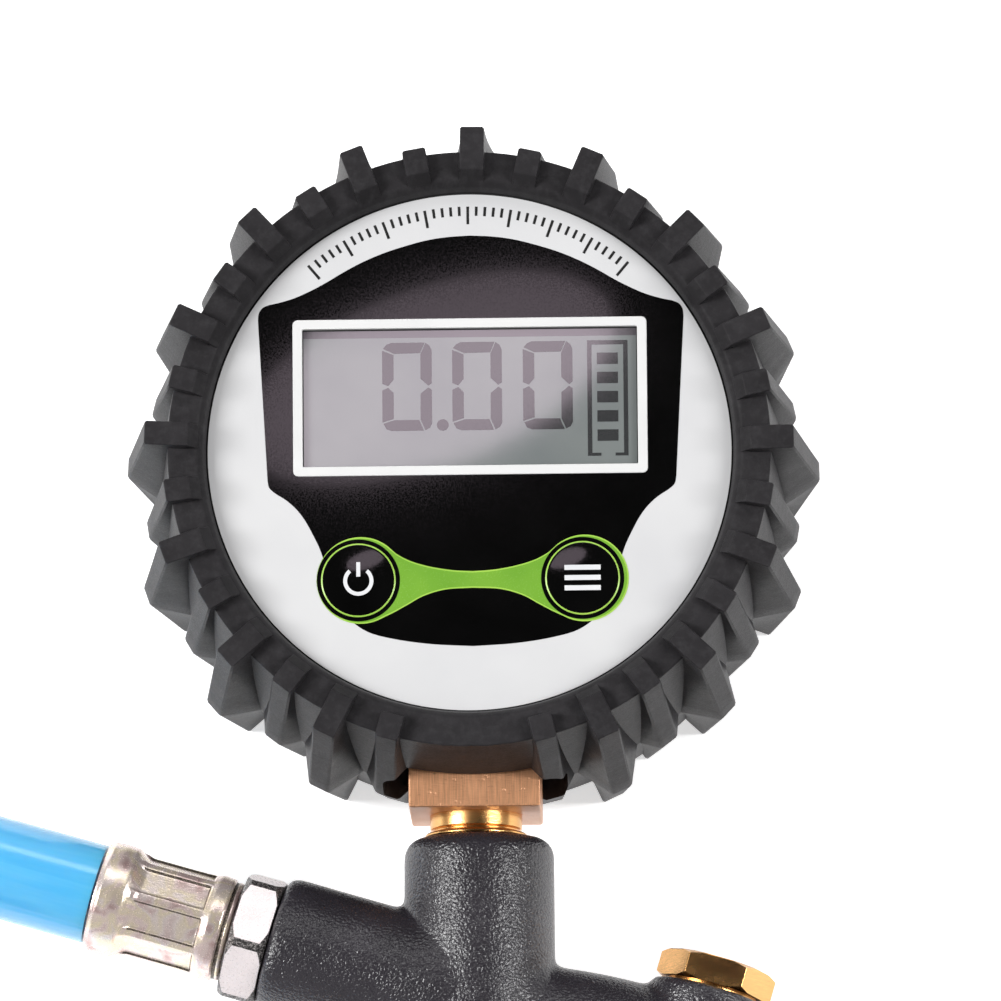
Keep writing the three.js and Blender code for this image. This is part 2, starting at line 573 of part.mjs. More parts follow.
// ---------------------------------------------------------------- trigger lever
function leverOutline() {
  const s = new THREE.Shape();
  const crown = PIVOT.y + 4.2;
  s.moveTo(6.2, PIVOT.y + 1);
  s.quadraticCurveTo(7, crown, 11, crown);
  s.quadraticCurveTo(15, -11.6, 17, -14.4);
  s.quadraticCurveTo(30, -17.2, 60, -20.4);
  s.lineTo(92, -25);
  s.quadraticCurveTo(98, -26.2, 98, -28.6);
  s.quadraticCurveTo(96, -32, 90, -31.8);
  s.quadraticCurveTo(60, -28.6, 30, -23.6);
  s.quadraticCurveTo(16, -22.4, 9.5, -20.8);
  s.quadraticCurveTo(6, -19.4, 6.2, PIVOT.y + 1);
  return s;
}

// Trough between the lever's two cheeks: everything above its floor.
function leverTrough() {
  const s = new THREE.Shape();
  s.moveTo(0, 0);
  s.lineTo(0, -30);
  s.lineTo(9, -19.2);
  s.quadraticCurveTo(16, -20.6, 30, -23.4 + LEVER.floor);
  s.quadraticCurveTo(60, -28.4 + LEVER.floor, 90, -31.6 + LEVER.floor);
  s.lineTo(92, -31.4 + LEVER.floor);
  s.quadraticCurveTo(95, -29, 95.4, -27.8);
  s.lineTo(95.4, 0);
  return slab(s, -LEVER.inner, LEVER.inner, 5);
}

function triggerLever() {
  const half = LEVER.inner + LEVER.wall;
  const plate = slab(leverOutline(), -half, half, 5);
  const pinHole = rod(PIVOT.r + 0.3, -12, 12, 12).translate(PIVOT.x, PIVOT.y, 0);
  return cut(plate, leverTrough(), pinHole);
}

add(body, 'trigger_lever', triggerLever(), 'coating');
const pinHalf = LEVER.inner + LEVER.wall + 0.9;
add(body, 'trigger_pin', turned([
  [0, -pinHalf - 0.9], [2.4, -pinHalf - 0.9], [2.4, -pinHalf + 0.4], [PIVOT.r, -pinHalf + 0.4],
  [PIVOT.r, pinHalf - 0.2], [1.1, pinHalf - 0.2], [1.1, pinHalf + 0.6], [PIVOT.r, pinHalf + 0.6],
  [PIVOT.r - 0.3, pinHalf + 1.1], [0, pinHalf + 1.1],
], 12).translate(PIVOT.x, PIVOT.y, 0), 'steel');
const clipShape = new THREE.Shape();
clipShape.absarc(0, 0, 2.6, 30 * DEG, 330 * DEG);
clipShape.absarc(0, 0, 1.35, 330 * DEG, 30 * DEG, true);
const clip = slab(clipShape, pinHalf - 0.1, pinHalf + 0.4, 8);
add(body, 'pin_clip', clip.translate(PIVOT.x, PIVOT.y, 0), 'steel');

// ---------------------------------------------------------------- inlet fitting
const INLET_TIP = 132;
const inletAxis = (geometry) => alongX(geometry).translate(0, -1, 0);
add(body, 'inlet_plug', inletAxis(cut(
  join(
    turned([
      [0, 92.4], [4.9, 92.4], [5.4, 93], [5.4, 106], [6.4, 112.4], [5, 113.4], [4.2, 114.6], [4.2, 119],
      [5.9, 120.4], [5.9, 123], [4.1, 125], [4.1, 129], [3.9, INLET_TIP], [0, INLET_TIP],
    ], 18),
    hexPrism(14, 105.8, 112, Math.PI / 6),
  ),
  rod(2.6, 90, 140, 10),
)), 'nickel');
add(body, 'inlet_seal', inletAxis(ring(5.7, 7.2, HANDLE_END + GAP, HANDLE_END + 1.5, 16)), 'white_plastic');
const filter = turned([[0, 86.6], [3.2, 86.6], [3.7, 87.2], [3.7, 91], [0, 91]], 12);
add(body, 'inlet_filter', inletAxis(filter), 'brass');

// ---------------------------------------------------------------- hose connection
const nippleBlank = turned([
  [0, 13.4], [4.8, 13.4], [5.3, 14], [5.3, -FERRULE.near - 5], [5.2, -FERRULE.near - 0.6],
  [3.9, -FERRULE.near - 0.4], [3.9, -FERRULE.near + 1.2], [3.2, -FERRULE.near + 1.3],
  [3.2, 44.6], [0, 44.6],
], 18);
add(body, 'hose_nipple', alongMinusX(cut(
  join(nippleBlank, hexPrism(HEX_AF, 25.3, 29.3, Math.PI / 6)),
  rod(2, 0, 60, 10),
)), 'nickel');

// Swaged ferrule: a sleeve whose waist is pressed into flats with ridges between them.
const FERRULE_FLATS = 8;
const FERRULE_RIDGE_ANGLE = 11.5 * DEG;

function nearFerrule() {
  const [start, length] = [-FERRULE.near, FERRULE.near - FERRULE.far];
  const sleeve = turned([
    [4.3, 0], [5.8, 0], [6.2, 0.5], [6.25, 2.3], [6.1, 3.2], [6.1, 11.2], [6.5, 12.4], [6.75, 14.2],
    [6.7, 15.9], [6.4, length], [6.2, length], [6.2, 12.2], [5.1, 12.2], [5.1, 2.2], [4.3, 2.2],
  ].map(([r, z]) => [r, start + z]), 24);
  const flats = Array.from({ length: FERRULE_FLATS }, (_, i) => {
    const middle = FERRULE_RIDGE_ANGLE + ((i + 0.5) * 2 * Math.PI) / FERRULE_FLATS;
    return box(5.62, 8, -1.6, 1.6, start + 3.2, start + 11.2).rotateZ(middle);
  });
  return cut(sleeve, ...flats);
}

add(body, 'near_ferrule', alongMinusX(nearFerrule()), 'zinc');

// ---------------------------------------------------------------- hose and chuck
const hosePath = new THREE.CatmullRomCurve3(HOSE_ROUTE, false, 'centripetal');
const hoseSection = new THREE.Shape(Array.from({ length: 12 }, (_, i) => (
  new THREE.Vector2(...polar(HOSE_R - 0.1, (i * Math.PI) / 6))
)));
add(line, 'hose', new THREE.ExtrudeGeometry(hoseSection, { extrudePath: hosePath, steps: 28 }), 'hose');

const atChuck = (geometry) => alongX(geometry).translate(CHUCK.x, CHUCK.y, CHUCK.z);
add(line, 'far_ferrule', atChuck(turned([
  [4, 0], [6.7, 0], [6.8, 2.4], [6.1, 4], [6.1, 12], [6.3, 15], [5.9, 15.8], [4, 15.8],
], 18)), 'zinc');
add(line, 'chuck_tail', atChuck(cut(
  join(
    turned([[0, 0.5], [3.5, 0.5], [3.5, 16.6], [4.6, 16.6], [4.6, 28.6], [0, 28.6]], 16),
    hexPrism(13, 16.8, 21, 0),
  ),
  rod(1.8, -2, 40, 8),
)), 'nickel');

const CHUCK_BODY = { start: 21.3, end: 56 };
const CHUCK_PIVOT = { x: 45, z: 11.6 };
function chuckBody() {
  const barrel = turned([
    [0, CHUCK_BODY.start], [7, CHUCK_BODY.start], [7.6, 22], [7.6, 30], [CHUCK.r, 32], [CHUCK.r, 54.5],
    [CHUCK.r - 1, CHUCK_BODY.end], [0, CHUCK_BODY.end],
  ], 20);
  const bore = turned([
    [0, 20], [4.9, 20], [4.9, 29], [2, 29], [2, 34], [5.6, 34], [5.6, 49.4], [4.4, 50], [4.4, 57], [0, 57],
  ], 14);
  const cheeks = [-1, 1].map((side) => box(
    CHUCK_PIVOT.x - 3.2, CHUCK_PIVOT.x + 3.2, side * 4.6 - 1.4, side * 4.6 + 1.4, 5.5, CHUCK_PIVOT.z + 2.6,
  ));
  const leverSlot = box(CHUCK_PIVOT.x - 3.4, CHUCK_PIVOT.x + 3.4, -3.1, 3.1, 4, 20);
  const pinHole = rod(1.3, -12, 12, 12).rotateX(Math.PI / 2).translate(CHUCK_PIVOT.x, 0, CHUCK_PIVOT.z);
  return cut(join(alongX(barrel), ...cheeks), alongX(bore), leverSlot, pinHole);
}

const toChuck = (geometry) => geometry.translate(CHUCK.x, CHUCK.y, CHUCK.z);
add(line, 'chuck_body', toChuck(chuckBody()), 'brass');
add(line, 'chuck_piston', atChuck(turned([
  [0, 34.6], [5.2, 34.6], [5.2, 40], [3.4, 40.6], [3.4, 43], [1, 43.4], [1, 47.4], [0, 47.8],
], 14)), 'brass');
add(line, 'chuck_gasket', atChuck(ring(2.6, 5.3, 45.2, 49, 16)), 'seal');

// The lever lies back along the hose; its round cam end sits in the slot over the pivot.
function chuckLever() {
  const arm = new THREE.Shape();
  arm.moveTo(0, -2.4);
  arm.absarc(0, 0, 2.4, -90 * DEG, 90 * DEG);
  arm.lineTo(-6, 3);
  arm.quadraticCurveTo(-16, 2.6, -27, 5.4);
  arm.lineTo(-28, 3.6);
  arm.quadraticCurveTo(-16, 0.2, -6, 0.4);
  const plate = slab(arm, -2.7, 2.7, 8);
  const grip = new THREE.Shape(
    [[-28, 3.6], [-27, 5.4], [-14, 3], [-14, 1]].map((p) => new THREE.Vector2(...p)),
  );
  const pinHole = rod(1.3, -12, 12, 12);
  const shape = cut(join(plate, slab(grip, -4.6, 4.6)), pinHole);
  return shape.rotateX(Math.PI / 2).translate(CHUCK_PIVOT.x, 0, CHUCK_PIVOT.z);
}

add(line, 'chuck_lever', toChuck(chuckLever()), 'steel');
const chuckPin = rod(1, -6.4, 6.4, 12).rotateX(Math.PI / 2);
add(line, 'chuck_pin', toChuck(chuckPin.translate(CHUCK_PIVOT.x, 0, CHUCK_PIVOT.z)), 'steel');

// ---------------------------------------------------------------- origin under the middle of the tool
part.updateMatrixWorld(true);
const extent = new THREE.Box3().setFromObject(head).union(new THREE.Box3().setFromObject(body));
const middle = extent.getCenter(new THREE.Vector3());
part.position.set(-middle.x, -middle.y, -extent.min.z);

export default part;
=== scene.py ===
import math

import bmesh
import bpy
from mathutils import Matrix, Vector


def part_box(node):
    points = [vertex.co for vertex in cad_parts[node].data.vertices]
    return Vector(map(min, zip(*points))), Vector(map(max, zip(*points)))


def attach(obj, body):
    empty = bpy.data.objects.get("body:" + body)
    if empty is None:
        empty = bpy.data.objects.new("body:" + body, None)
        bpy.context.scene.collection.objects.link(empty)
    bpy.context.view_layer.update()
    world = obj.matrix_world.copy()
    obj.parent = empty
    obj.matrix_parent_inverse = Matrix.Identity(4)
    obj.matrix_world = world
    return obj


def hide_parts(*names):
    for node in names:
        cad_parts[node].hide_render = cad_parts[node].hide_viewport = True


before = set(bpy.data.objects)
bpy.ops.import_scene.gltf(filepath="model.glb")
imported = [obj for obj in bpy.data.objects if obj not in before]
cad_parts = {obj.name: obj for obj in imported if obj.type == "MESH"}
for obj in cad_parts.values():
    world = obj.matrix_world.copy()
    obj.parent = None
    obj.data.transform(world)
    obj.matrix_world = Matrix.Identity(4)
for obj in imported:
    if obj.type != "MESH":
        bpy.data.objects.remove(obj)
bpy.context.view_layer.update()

# Digital tyre pressure gauge with an inflator handle, a short hose and a clip-on chuck.
# Shapes are written in millimetres in the gauge's own frames and set down in the row frame in metres:
#   TOOL   dial axis at x = y = 0, bench at z = 0, twelve o'clock towards +Y
#   BODY   the valve body: X along the air line, hose at -X and handle at +X, Y towards the gauge
#   CHUCK  X along the chuck, from the hose towards its mouth
DEG = math.pi / 180
MM = 0.001
ON_AXIS = 1e-6      # a smaller radius or length counts as none

dial_low, dial_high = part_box("face_label")
DIAL_CENTRE = (dial_low + dial_high) / 2
TOOL = Matrix.Translation((DIAL_CENTRE.x, DIAL_CENTRE.y, 0)) @ Matrix.Scale(MM, 4)
STEM_Z = 24.0
BODY_Y = -61.7
BODY_TILT = -16.4 * DEG
BODY = TOOL @ Matrix.Translation((0, BODY_Y, STEM_Z)) @ Matrix.Rotation(BODY_TILT, 4, "Z")
CHUCK = TOOL @ Matrix.Translation((-51.7, -161, 9))
DIAL_Z = 43.8

# ---- camera
TARGET = Vector((3.55, -5.82, DIAL_Z))
DISTANCE = 1500.0
AZIMUTH, ELEVATION, ROLL = -6.38 * DEG, 79.89 * DEG, -0.465 * DEG
FOCAL_PIXELS, FRAME_PIXELS, SENSOR = 12928.0, 1001.0, 36.0


def make_camera():
    data = bpy.data.cameras.new("camera")
    data.sensor_width = SENSOR
    data.lens = FOCAL_PIXELS / FRAME_PIXELS * SENSOR
    data.clip_start, data.clip_end = 0.05, 20
    camera = bpy.data.objects.new("camera", data)
    bpy.context.scene.collection.objects.link(camera)
    back = Vector((
        -math.sin(AZIMUTH) * math.cos(ELEVATION),
        -math.cos(AZIMUTH) * math.cos(ELEVATION),
        math.sin(ELEVATION),
    ))
    right = Vector((0, 1, 0)).cross(back).normalized()
    up = back.cross(right)
    c, s = math.cos(ROLL), math.sin(ROLL)
    right, up = c * right + s * up, c * up - s * right
    camera.matrix_world = Matrix((right, up, back)).transposed().to_4x4()
    camera.matrix_world.translation = TOOL @ (TARGET + DISTANCE * back)
    bpy.context.scene.camera = camera


make_camera()


# ---- mesh helpers
def shown(obj):
    bpy.context.scene.collection.objects.link(obj)
    return obj


def mesh_of(bm, name):
    data = bpy.data.meshes.new(name)
    bm.to_mesh(data)
    bm.free()
    return data


def outward(bm):
    """Turns every face to look out of the shape."""
    bmesh.ops.recalc_face_normals(bm, faces=bm.faces)
    return bm


def skinned(bm, rings):
    """Closed walls between rings of as many points each, row by row."""
    for low, high in zip(rings, rings[1:]):
        for k in range(len(low)):
            m = (k + 1) % len(low)
            bm.faces.new((low[k], low[m], high[m], high[k]))


def lathe(profile, segments=96):
    """A mesh turned round +Z from (radius, z) points. It ends on the axis or closes on itself."""
    bm = bmesh.new()
    angles = [2 * math.pi * i / segments for i in range(segments)]
    rings = []
    for r, z in profile:
        if r < ON_AXIS:
            rings.append([bm.verts.new((0, 0, z))])
        else:
            rings.append([bm.verts.new((r * math.cos(a), r * math.sin(a), z)) for a in angles])
    if profile[0][0] > ON_AXIS:
        rings.append(rings[0])
    for low, high in zip(rings, rings[1:]):
        for i in range(segments):
            j = (i + 1) % segments
            corners = low[i % len(low)], low[j % len(low)], high[j % len(high)], high[i % len(high)]
            corners = list(dict.fromkeys(corners))
            if len(corners) > 2:
                bm.faces.new(corners)
    return outward(bm)


def quadratic(start, control, end, t):
    return (1 - t) ** 2 * start + 2 * t * (1 - t) * control + t * t * end


STRAIGHT = 172 * DEG
MOST_OF_SIDE = 0.45     # how much of a side one rounded corner may take up


def softened(points, radius, steps=3, loop=False):
    """The points with each corner replaced by a short curve."""
    n = len(points)
    result = []
    for i, corner in enumerate(points):
        if not loop and i in (0, n - 1):
            result.append(tuple(corner))
            continue
        c = Vector(corner)
        before, after = Vector(points[i - 1]) - c, Vector(points[(i + 1) % n]) - c
        if min(before.length, after.length) < ON_AXIS or before.angle(after) > STRAIGHT:
            result.append(tuple(corner))
            continue
        p = c + before.normalized() * min(radius, MOST_OF_SIDE * before.length)
        q = c + after.normalized() * min(radius, MOST_OF_SIDE * after.length)
        result += [tuple(quadratic(p, c, q, k / steps)) for k in range(steps + 1)]
    return result


def turned(profile, radius=0.25, segments=96):
    """A lathe shape with soft corners."""
    return lathe(softened(profile, radius, loop=profile[0][0] > ON_AXIS), segments)


def extruded(outline, z0, z1):
    bm = bmesh.new()
    low = [bm.verts.new((x, y, z0)) for x, y in outline]
    high = [bm.verts.new((x, y, z1)) for x, y in outline]
    bm.faces.new(low[::-1])
    bm.faces.new(high)
    skinned(bm, [low, high])
    return outward(bm)


def block(x0, x1, y0, y1, z0, z1):
    return extruded([(x0, y0), (x1, y0), (x1, y1), (x0, y1)], z0, z1)


def arc(cx, cy, r, start, end, steps=24):
    angles = [(start + (end - start) * k / steps) * DEG for k in range(steps + 1)]
    return [(cx + r * math.cos(a), cy + r * math.sin(a)) for a in angles]


def rounded_rectangle(cx, cy, w, h, r, steps=6):
    points = []
    for kx, ky, start in ((1, 1, 0), (-1, 1, 90), (-1, -1, 180), (1, -1, 270)):
        points += arc(cx + kx * (w / 2 - r), cy + ky * (h / 2 - r), r, start, start + 90, steps)
    return points


def cylinder(r, z0, z1, segments):
    return lathe([(0, z0), (r, z0), (r, z1), (0, z1)], segments)


def disc(cx, cy, r, z0, z1, segments=72):
    return moved(cylinder(r, z0, z1, segments), cx, cy)


def hull(points):
    """The smallest solid without dents that holds the points."""
    bm = bmesh.new()
    for p in points:
        bm.verts.new(p)
    done = bmesh.ops.convex_hull(bm, input=bm.verts)
    unused = done["geom_interior"] + done["geom_unused"]
    spare = [v for v in unused if isinstance(v, bmesh.types.BMVert)]
    bmesh.ops.delete(bm, geom=spare, context="VERTS")
    bmesh.ops.dissolve_limit(bm, angle_limit=1.0 * DEG, verts=bm.verts, edges=bm.edges)
    return outward(bm)


def sharp_edges(bm, angle):
    return [e for e in bm.edges if len(e.link_faces) == 2 and e.calc_face_angle(0) > angle * DEG]


def bevelled(bm, width, segments=2, angle=25.0, keep=lambda edge: True):
    edges = [e for e in sharp_edges(bm, angle) if keep(e)]
    bmesh.ops.bevel(
        bm, geom=edges, offset=width, offset_type="OFFSET", segments=segments,
        profile=0.5, affect="EDGES", clamp_overlap=True,
    )
    return bm


def moved(bm, x=0.0, y=0.0, z=0.0):
    bm.transform(Matrix.Translation((x, y, z)))
    return bm


def rotated(bm, angle, axis="Z"):
    bm.transform(Matrix.Rotation(angle, 4, axis))
    return bm


def along_x(bm, sign=1):
    return rotated(bm, sign * 90 * DEG, "Y")


def along_y(bm, sign=1):
    return rotated(bm, -sign * 90 * DEG, "X")


def merged(*meshes):
    result = bmesh.new()
    for bm in meshes:
        data = mesh_of(bm, "part")
        result.from_mesh(data)
        bpy.data.meshes.remove(data)
    return result


def with_modifiers(bm, make):
    """The mesh after the modifiers that make(object) adds."""
    data = mesh_of(bm, "work")
    obj = shown(bpy.data.objects.new("work", data))
    make(obj)
    graph = bpy.context.evaluated_depsgraph_get()
    after = bpy.data.meshes.new_from_object(obj.evaluated_get(graph))
    result = bmesh.new()
    result.from_mesh(after)
    bpy.data.objects.remove(obj)
    bpy.data.meshes.remove(data)
    bpy.data.meshes.remove(after)
    return result


def boolean(bm, cutters, operation="DIFFERENCE"):
    """Cuts or joins closed meshes."""
    tools = [shown(bpy.data.objects.new("cutter", mesh_of(cutter, "cutter"))) for cutter in cutters]

    def add(obj):
        for tool in tools:
            modifier = obj.modifiers.new("boolean", "BOOLEAN")
            modifier.operation = operation
            modifier.solver = "EXACT"
            modifier.object = tool

    result = with_modifiers(bm, add)
    for tool in tools:
        data = tool.data
        bpy.data.objects.remove(tool)
        bpy.data.meshes.remove(data)
    return result


def piece(name, bm, space, look, body="tool", stands_for=(), smooth=32.0, weighted=True):
    """Sets a mesh down in the row frame as a piece of the gauge, with one material or more."""
    bm.transform(space)
    data = mesh_of(bm, name)
    data.shade_smooth()
    data.set_sharp_from_angle(angle=smooth * DEG)
    for material in look if isinstance(look, tuple) else (look,):
        data.materials.append(material)
    obj = shown(bpy.data.objects.new(name, data))
    if weighted:
        modifier = obj.modifiers.new("normals", "WEIGHTED_NORMAL")
        modifier.keep_sharp = True
    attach(obj, body)
    if stands_for:
        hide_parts(*stands_for)
    return obj


# ---- material helpers
class Look:
    """A procedural material: a Principled shader and the nodes that feed it, in object space."""

    def __init__(self, name, **constants):
        self.material = bpy.data.materials.new(name)
        self.material.use_nodes = True
        self.tree = self.material.node_tree
        self.tree.nodes.clear()
        output = self.tree.nodes.new("ShaderNodeOutputMaterial")
        self.shader = self.tree.nodes.new("ShaderNodeBsdfPrincipled")
        self.tree.links.new(self.shader.outputs[0], output.inputs["Surface"])
        self.place = self.tree.nodes.new("ShaderNodeTexCoord").outputs["Object"]
        for key, value in constants.items():
            self.set(key.replace("_", " ").title(), value)

    def feed(self, socket, value):
        """Links a node's output to the socket, or sets the socket to a constant."""
        if isinstance(value, bpy.types.NodeSocket):
            self.tree.links.new(value, socket)
        elif isinstance(value, tuple) and len(value) == 3 and socket.type == "RGBA":
            socket.default_value = (*value, 1)
        else:
            socket.default_value = value

    def set(self, name, value):
        names = {"Ior": "IOR", "Specular": "Specular IOR Level"}
        self.feed(self.shader.inputs[names.get(name, name)], value)

    def node(self, kind, inputs, output=0, **settings):
        made = self.tree.nodes.new("ShaderNode" + kind)
        for key, value in settings.items():
            setattr(made, key, value)
        for key, value in inputs.items():
            self.feed(made.inputs[key], value)
        return made.outputs[output]

    def stretched(self, x, y, z):
        return self.node("Mapping", {"Vector": self.place, "Scale": (x, y, z)})

    def noise(self, size_mm, detail=3.0, rough=0.5, distortion=0.0, vector=None):
        return self.node("TexNoise", {
            "Vector": vector or self.place, "Scale": 1 / (size_mm * MM), "Detail": detail,
            "Roughness": rough, "Distortion": distortion,
        })

    def cells(self, size_mm):
        return self.node("TexVoronoi", {"Vector": self.place, "Scale": 1 / (size_mm * MM)})

    def ramp(self, factor, *stops):
        """Colour or grey by factor, from (position, value) stops."""
        made = self.tree.nodes.new("ShaderNodeValToRGB")
        self.tree.links.new(factor, made.inputs[0])
        elements = made.color_ramp.elements
        while len(elements) < len(stops):
            elements.new(0.5)
        for element, (position, value) in zip(elements, stops):
            element.position = position
            element.color = (*value, 1) if isinstance(value, tuple) else (value, value, value, 1)
        return made.outputs[0]

    def math(self, operation, a, b=0.0):
        return self.node("Math", {0: a, 1: b}, operation=operation)

    def mix(self, factor, a, b):
        return self.node("Mix", {0: factor, 6: a, 7: b}, 2, data_type="RGBA")

    def height(self):
        return self.node("SeparateXYZ", {0: self.place}, 2)

    def colour(self, factor, low, high):
        self.set("Base Color", self.ramp(factor, (0.3, low), (0.7, high)))

    def rough(self, factor, low, high):
        self.set("Roughness", self.ramp(factor, (0.3, low), (0.7, high)))

    def bump(self, height, depth_mm, strength=1.0, normal=None):
        inputs = {"Height": height, "Distance": depth_mm * MM, "Strength": strength}
        if normal is not None:
            inputs["Normal"] = normal
        return self.node("Bump", inputs)


FLASH_HALF = 0.12 * MM      # half the height of the mould's flash line


def rubber_look():
    look = Look("boot_rubber", specular=0.04)
    mottle = look.noise(5.0, 4.0, 0.6)
    grain = look.noise(0.22, 3.0, 0.6)
    streaks = look.noise(1.1, 4.0, 0.65, vector=look.stretched(1, 1, 0.22))
    plain = look.ramp(mottle, (0.3, (0.025, 0.0236, 0.0252)), (0.7, (0.035, 0.033, 0.0353)))
    scuffed = look.ramp(streaks, (0.45, 0.0), (0.75, 0.5))
    look.set("Base Color", look.mix(scuffed, plain, (0.055, 0.053, 0.056)))
    look.rough(grain, 0.34, 0.46)
    # Flash line where the two halves of the mould met, round the widest part of the tread.
    from_seam = look.math("ABSOLUTE", look.math("SUBTRACT", look.height(), STEM_Z * MM))
    flash = look.math("LESS_THAN", from_seam, FLASH_HALF)
    relief = look.math("ADD", look.math("MULTIPLY", grain, 0.25), flash)
    look.set("Normal", look.bump(relief, 0.12, 0.7, look.bump(mottle, 0.25, 0.35)))
    return look.material


def coating_look():
    """Dark coating with a fine wrinkle."""
    look = Look("wrinkle_coat", specular=0.7)
    wrinkle = look.noise(0.34, 1.0, 0.5, 0.2)
    fine = look.noise(0.2, 1.0, 0.5)
    tone = look.noise(6.0, 3.0, 0.5)
    look.colour(tone, (0.023, 0.0205, 0.0255), (0.033, 0.029, 0.036))
    look.rough(fine, 0.22, 0.32)
    relief = look.math("ADD", wrinkle, look.math("MULTIPLY", fine, 0.15))
    look.set("Normal", look.bump(relief, 0.15, 1.0))
    return look.material


def brass_look(name, base, brush, roughness, pits, metallic):
    """Brass with lines stretched by brush. With pits it is milled and dull, without them turned."""
    look = Look(name, metallic=metallic)
    lines = look.noise(0.12, 3.0, 0.6, vector=look.stretched(*brush))
    tone = look.noise(4.0, 3.0, 0.5)
    dark = tuple((0.66 if pits else 0.88) * c for c in base)
    tint = look.mix(look.ramp(lines, (0.35, 0.0), (0.65, 1.0)), dark, base)
    if pits:
        ticks = look.noise(0.3, 2.0, 0.6, vector=look.stretched(0.3, 2.2, 1))
        nicks = look.ramp(ticks, (0.25, 0.8), (0.32, 0.0))
        tint = look.mix(nicks, tint, tuple(0.3 * c for c in base))
    look.set("Base Color", tint)
    look.rough(tone, roughness - 0.06, roughness + 0.08)
    relief = lines
    if pits:
        spots = look.ramp(look.cells(1.1), (0.08, 0.0), (0.2, 1.0))
        fine = look.math("MULTIPLY", lines, 0.4)
        relief = look.math("ADD", fine, look.math("ADD", spots, ticks))
    look.set("Normal", look.bump(relief, 0.07 if pits else 0.025, 0.6))
    return look.material


def nickel_look(name, base, roughness, grain, metallic=1.0):
    """Plated metal."""
    look = Look(name, metallic=metallic)
    specks = look.noise(0.25, 3.0, 0.6)
    tone = look.noise(3.0, 3.0, 0.5)
    look.colour(tone, tuple(0.9 * c for c in base), base)
    look.set("Roughness", look.ramp(specks, (0.35, roughness - 0.06), (0.65, roughness + 0.1)))
    look.set("Normal", look.bump(specks, 0.05, grain))
    return look.material


def zinc_look():
    """Zinc plating whose tint drifts between straw and pink."""
    look = Look("iridescent_zinc", metallic=0.65)
    drift = look.noise(3.2, 2.0, 0.5, 0.6)
    specks = look.noise(0.22, 3.0, 0.65)
    look.set("Base Color", look.ramp(
        drift, (0.27, (0.60, 0.41, 0.39)), (0.42, (0.92, 0.75, 0.71)),
        (0.52, (0.93, 0.80, 0.60)), (0.6, (0.92, 0.80, 0.76)), (0.75, (0.68, 0.48, 0.46)),
    ))
    look.rough(specks, 0.16, 0.3)
    look.set("Normal", look.bump(specks, 0.055, 0.55))
    return look.material


def shade_and_glint_look(name, low, high):
    """Dark metal with bright specks: painted shade with painted glints, for turned corners and creases.
    """
    look = Look(name, metallic=0.6)
    specks = look.noise(0.2, 3.0, 0.7)
    look.set("Base Color", look.ramp(specks, (0.48, low), (0.66, high)))
    look.rough(specks, 0.3, 0.45)
    look.set("Normal", look.bump(specks, 0.08, 0.8))
    return look.material


def hose_look():
    """Glossy translucent tube, with faint streaks along it by the UV map of tube()."""
    look = Look("hose_blue", specular=0.5, coat_weight=0.6, coat_roughness=0.08)
    uv = look.tree.nodes["Texture Coordinate"].outputs["UV"]
    broad = look.node("Mapping", {"Vector": uv, "Scale": (0.6, 14, 1)})
    thin = look.node("Mapping", {"Vector": uv, "Scale": (1.5, 60, 1)})
    streak = look.node("TexNoise", {"Vector": broad, "Scale": 1.0, "Detail": 3.0, "Roughness": 0.55})
    fine = look.node("TexNoise", {"Vector": thin, "Scale": 1.0, "Detail": 2.0})
    base = look.ramp(
        streak, (0.3, (0.085, 0.47, 0.845)), (0.5, (0.10, 0.50, 0.862)), (0.7, (0.125, 0.54, 0.885)),
    )
    paler = look.ramp(fine, (0.4, 0.0), (0.7, 0.16))
    look.set("Base Color", look.mix(paler, base, (0.22, 0.60, 0.9)))
    look.rough(streak, 0.16, 0.26)
    look.set("Subsurface Weight", 0.35)
    look.set("Subsurface Scale", 0.004)
    look.set("Subsurface Radius", (0.3, 0.7, 1.0))
    look.set("Normal", look.bump(fine, 0.04, 0.3))
    return look.material


def print_look(name, low, high, roughness, size=6.0, grain=0.06):
    """Printed or moulded plastic with a slight drift of tone and a fine grain."""
    look = Look(name)
    tone = look.noise(size, 3.0, 0.5)
    specks = look.noise(0.2, 2.0, 0.6)
    look.colour(tone, low, high)
    look.rough(specks, roughness - 0.03, roughness + 0.04)
    look.set("Normal", look.bump(specks, 0.02, grain))
    return look.material


def display_look(name, low, high):
    """The display with the gloss of its window."""
    look = Look(name, ior=2.05)
    tone = look.noise(9.0, 2.0, 0.5)
    specks = look.noise(0.25, 2.0, 0.5)
    look.colour(tone, low, high)
    look.rough(specks, 0.035, 0.05)
    return look.material


RUBBER = rubber_look()
COATING = coating_look()
BRASS = brass_look("brass", (0.86, 0.43, 0.225), (1, 0.03, 1), 0.38, True, 0.4)
TURNED_BRASS = brass_look("turned_brass", (0.84, 0.46, 0.17), (0.06, 1, 0.06), 0.22, False, 1.0)
NICKEL = nickel_look("nickel", (0.82, 0.78, 0.77), 0.2, 0.3)
PLATED = nickel_look("bright_plating", (0.98, 0.89, 0.89), 0.3, 0.5, 0.25)
STEEL = nickel_look("zinc_plated_steel", (0.58, 0.59, 0.61), 0.3, 0.35)
ZINC = zinc_look()
# Painted shade with painted glints: on the hexagon's turned corners, and in the ferrule's creases.
EDGE_PAINTED_SHADE = shade_and_glint_look("edge_painted_shade", (0.02, 0.018, 0.018), (0.62, 0.58, 0.57))
ZINC_PAINTED_SHADE = shade_and_glint_look("zinc_painted_crease_shade", (0.05, 0.04, 0.03), (0.34, 0.27, 0.22))
HOSE = hose_look()
SILVER_PRINT = print_look("silver_print", (0.67, 0.67, 0.68), (0.72, 0.72, 0.725), 0.34, 12.0)
BLACK_GLOSS = print_look("black_gloss", 0.0018, 0.003, 0.04, grain=0.0)
BLACK_INK = print_look("black_ink", 0.006, 0.010, 0.4)
GREEN = print_look("green_print", (0.16, 0.38, 0.035), (0.21, 0.45, 0.045), 0.25)
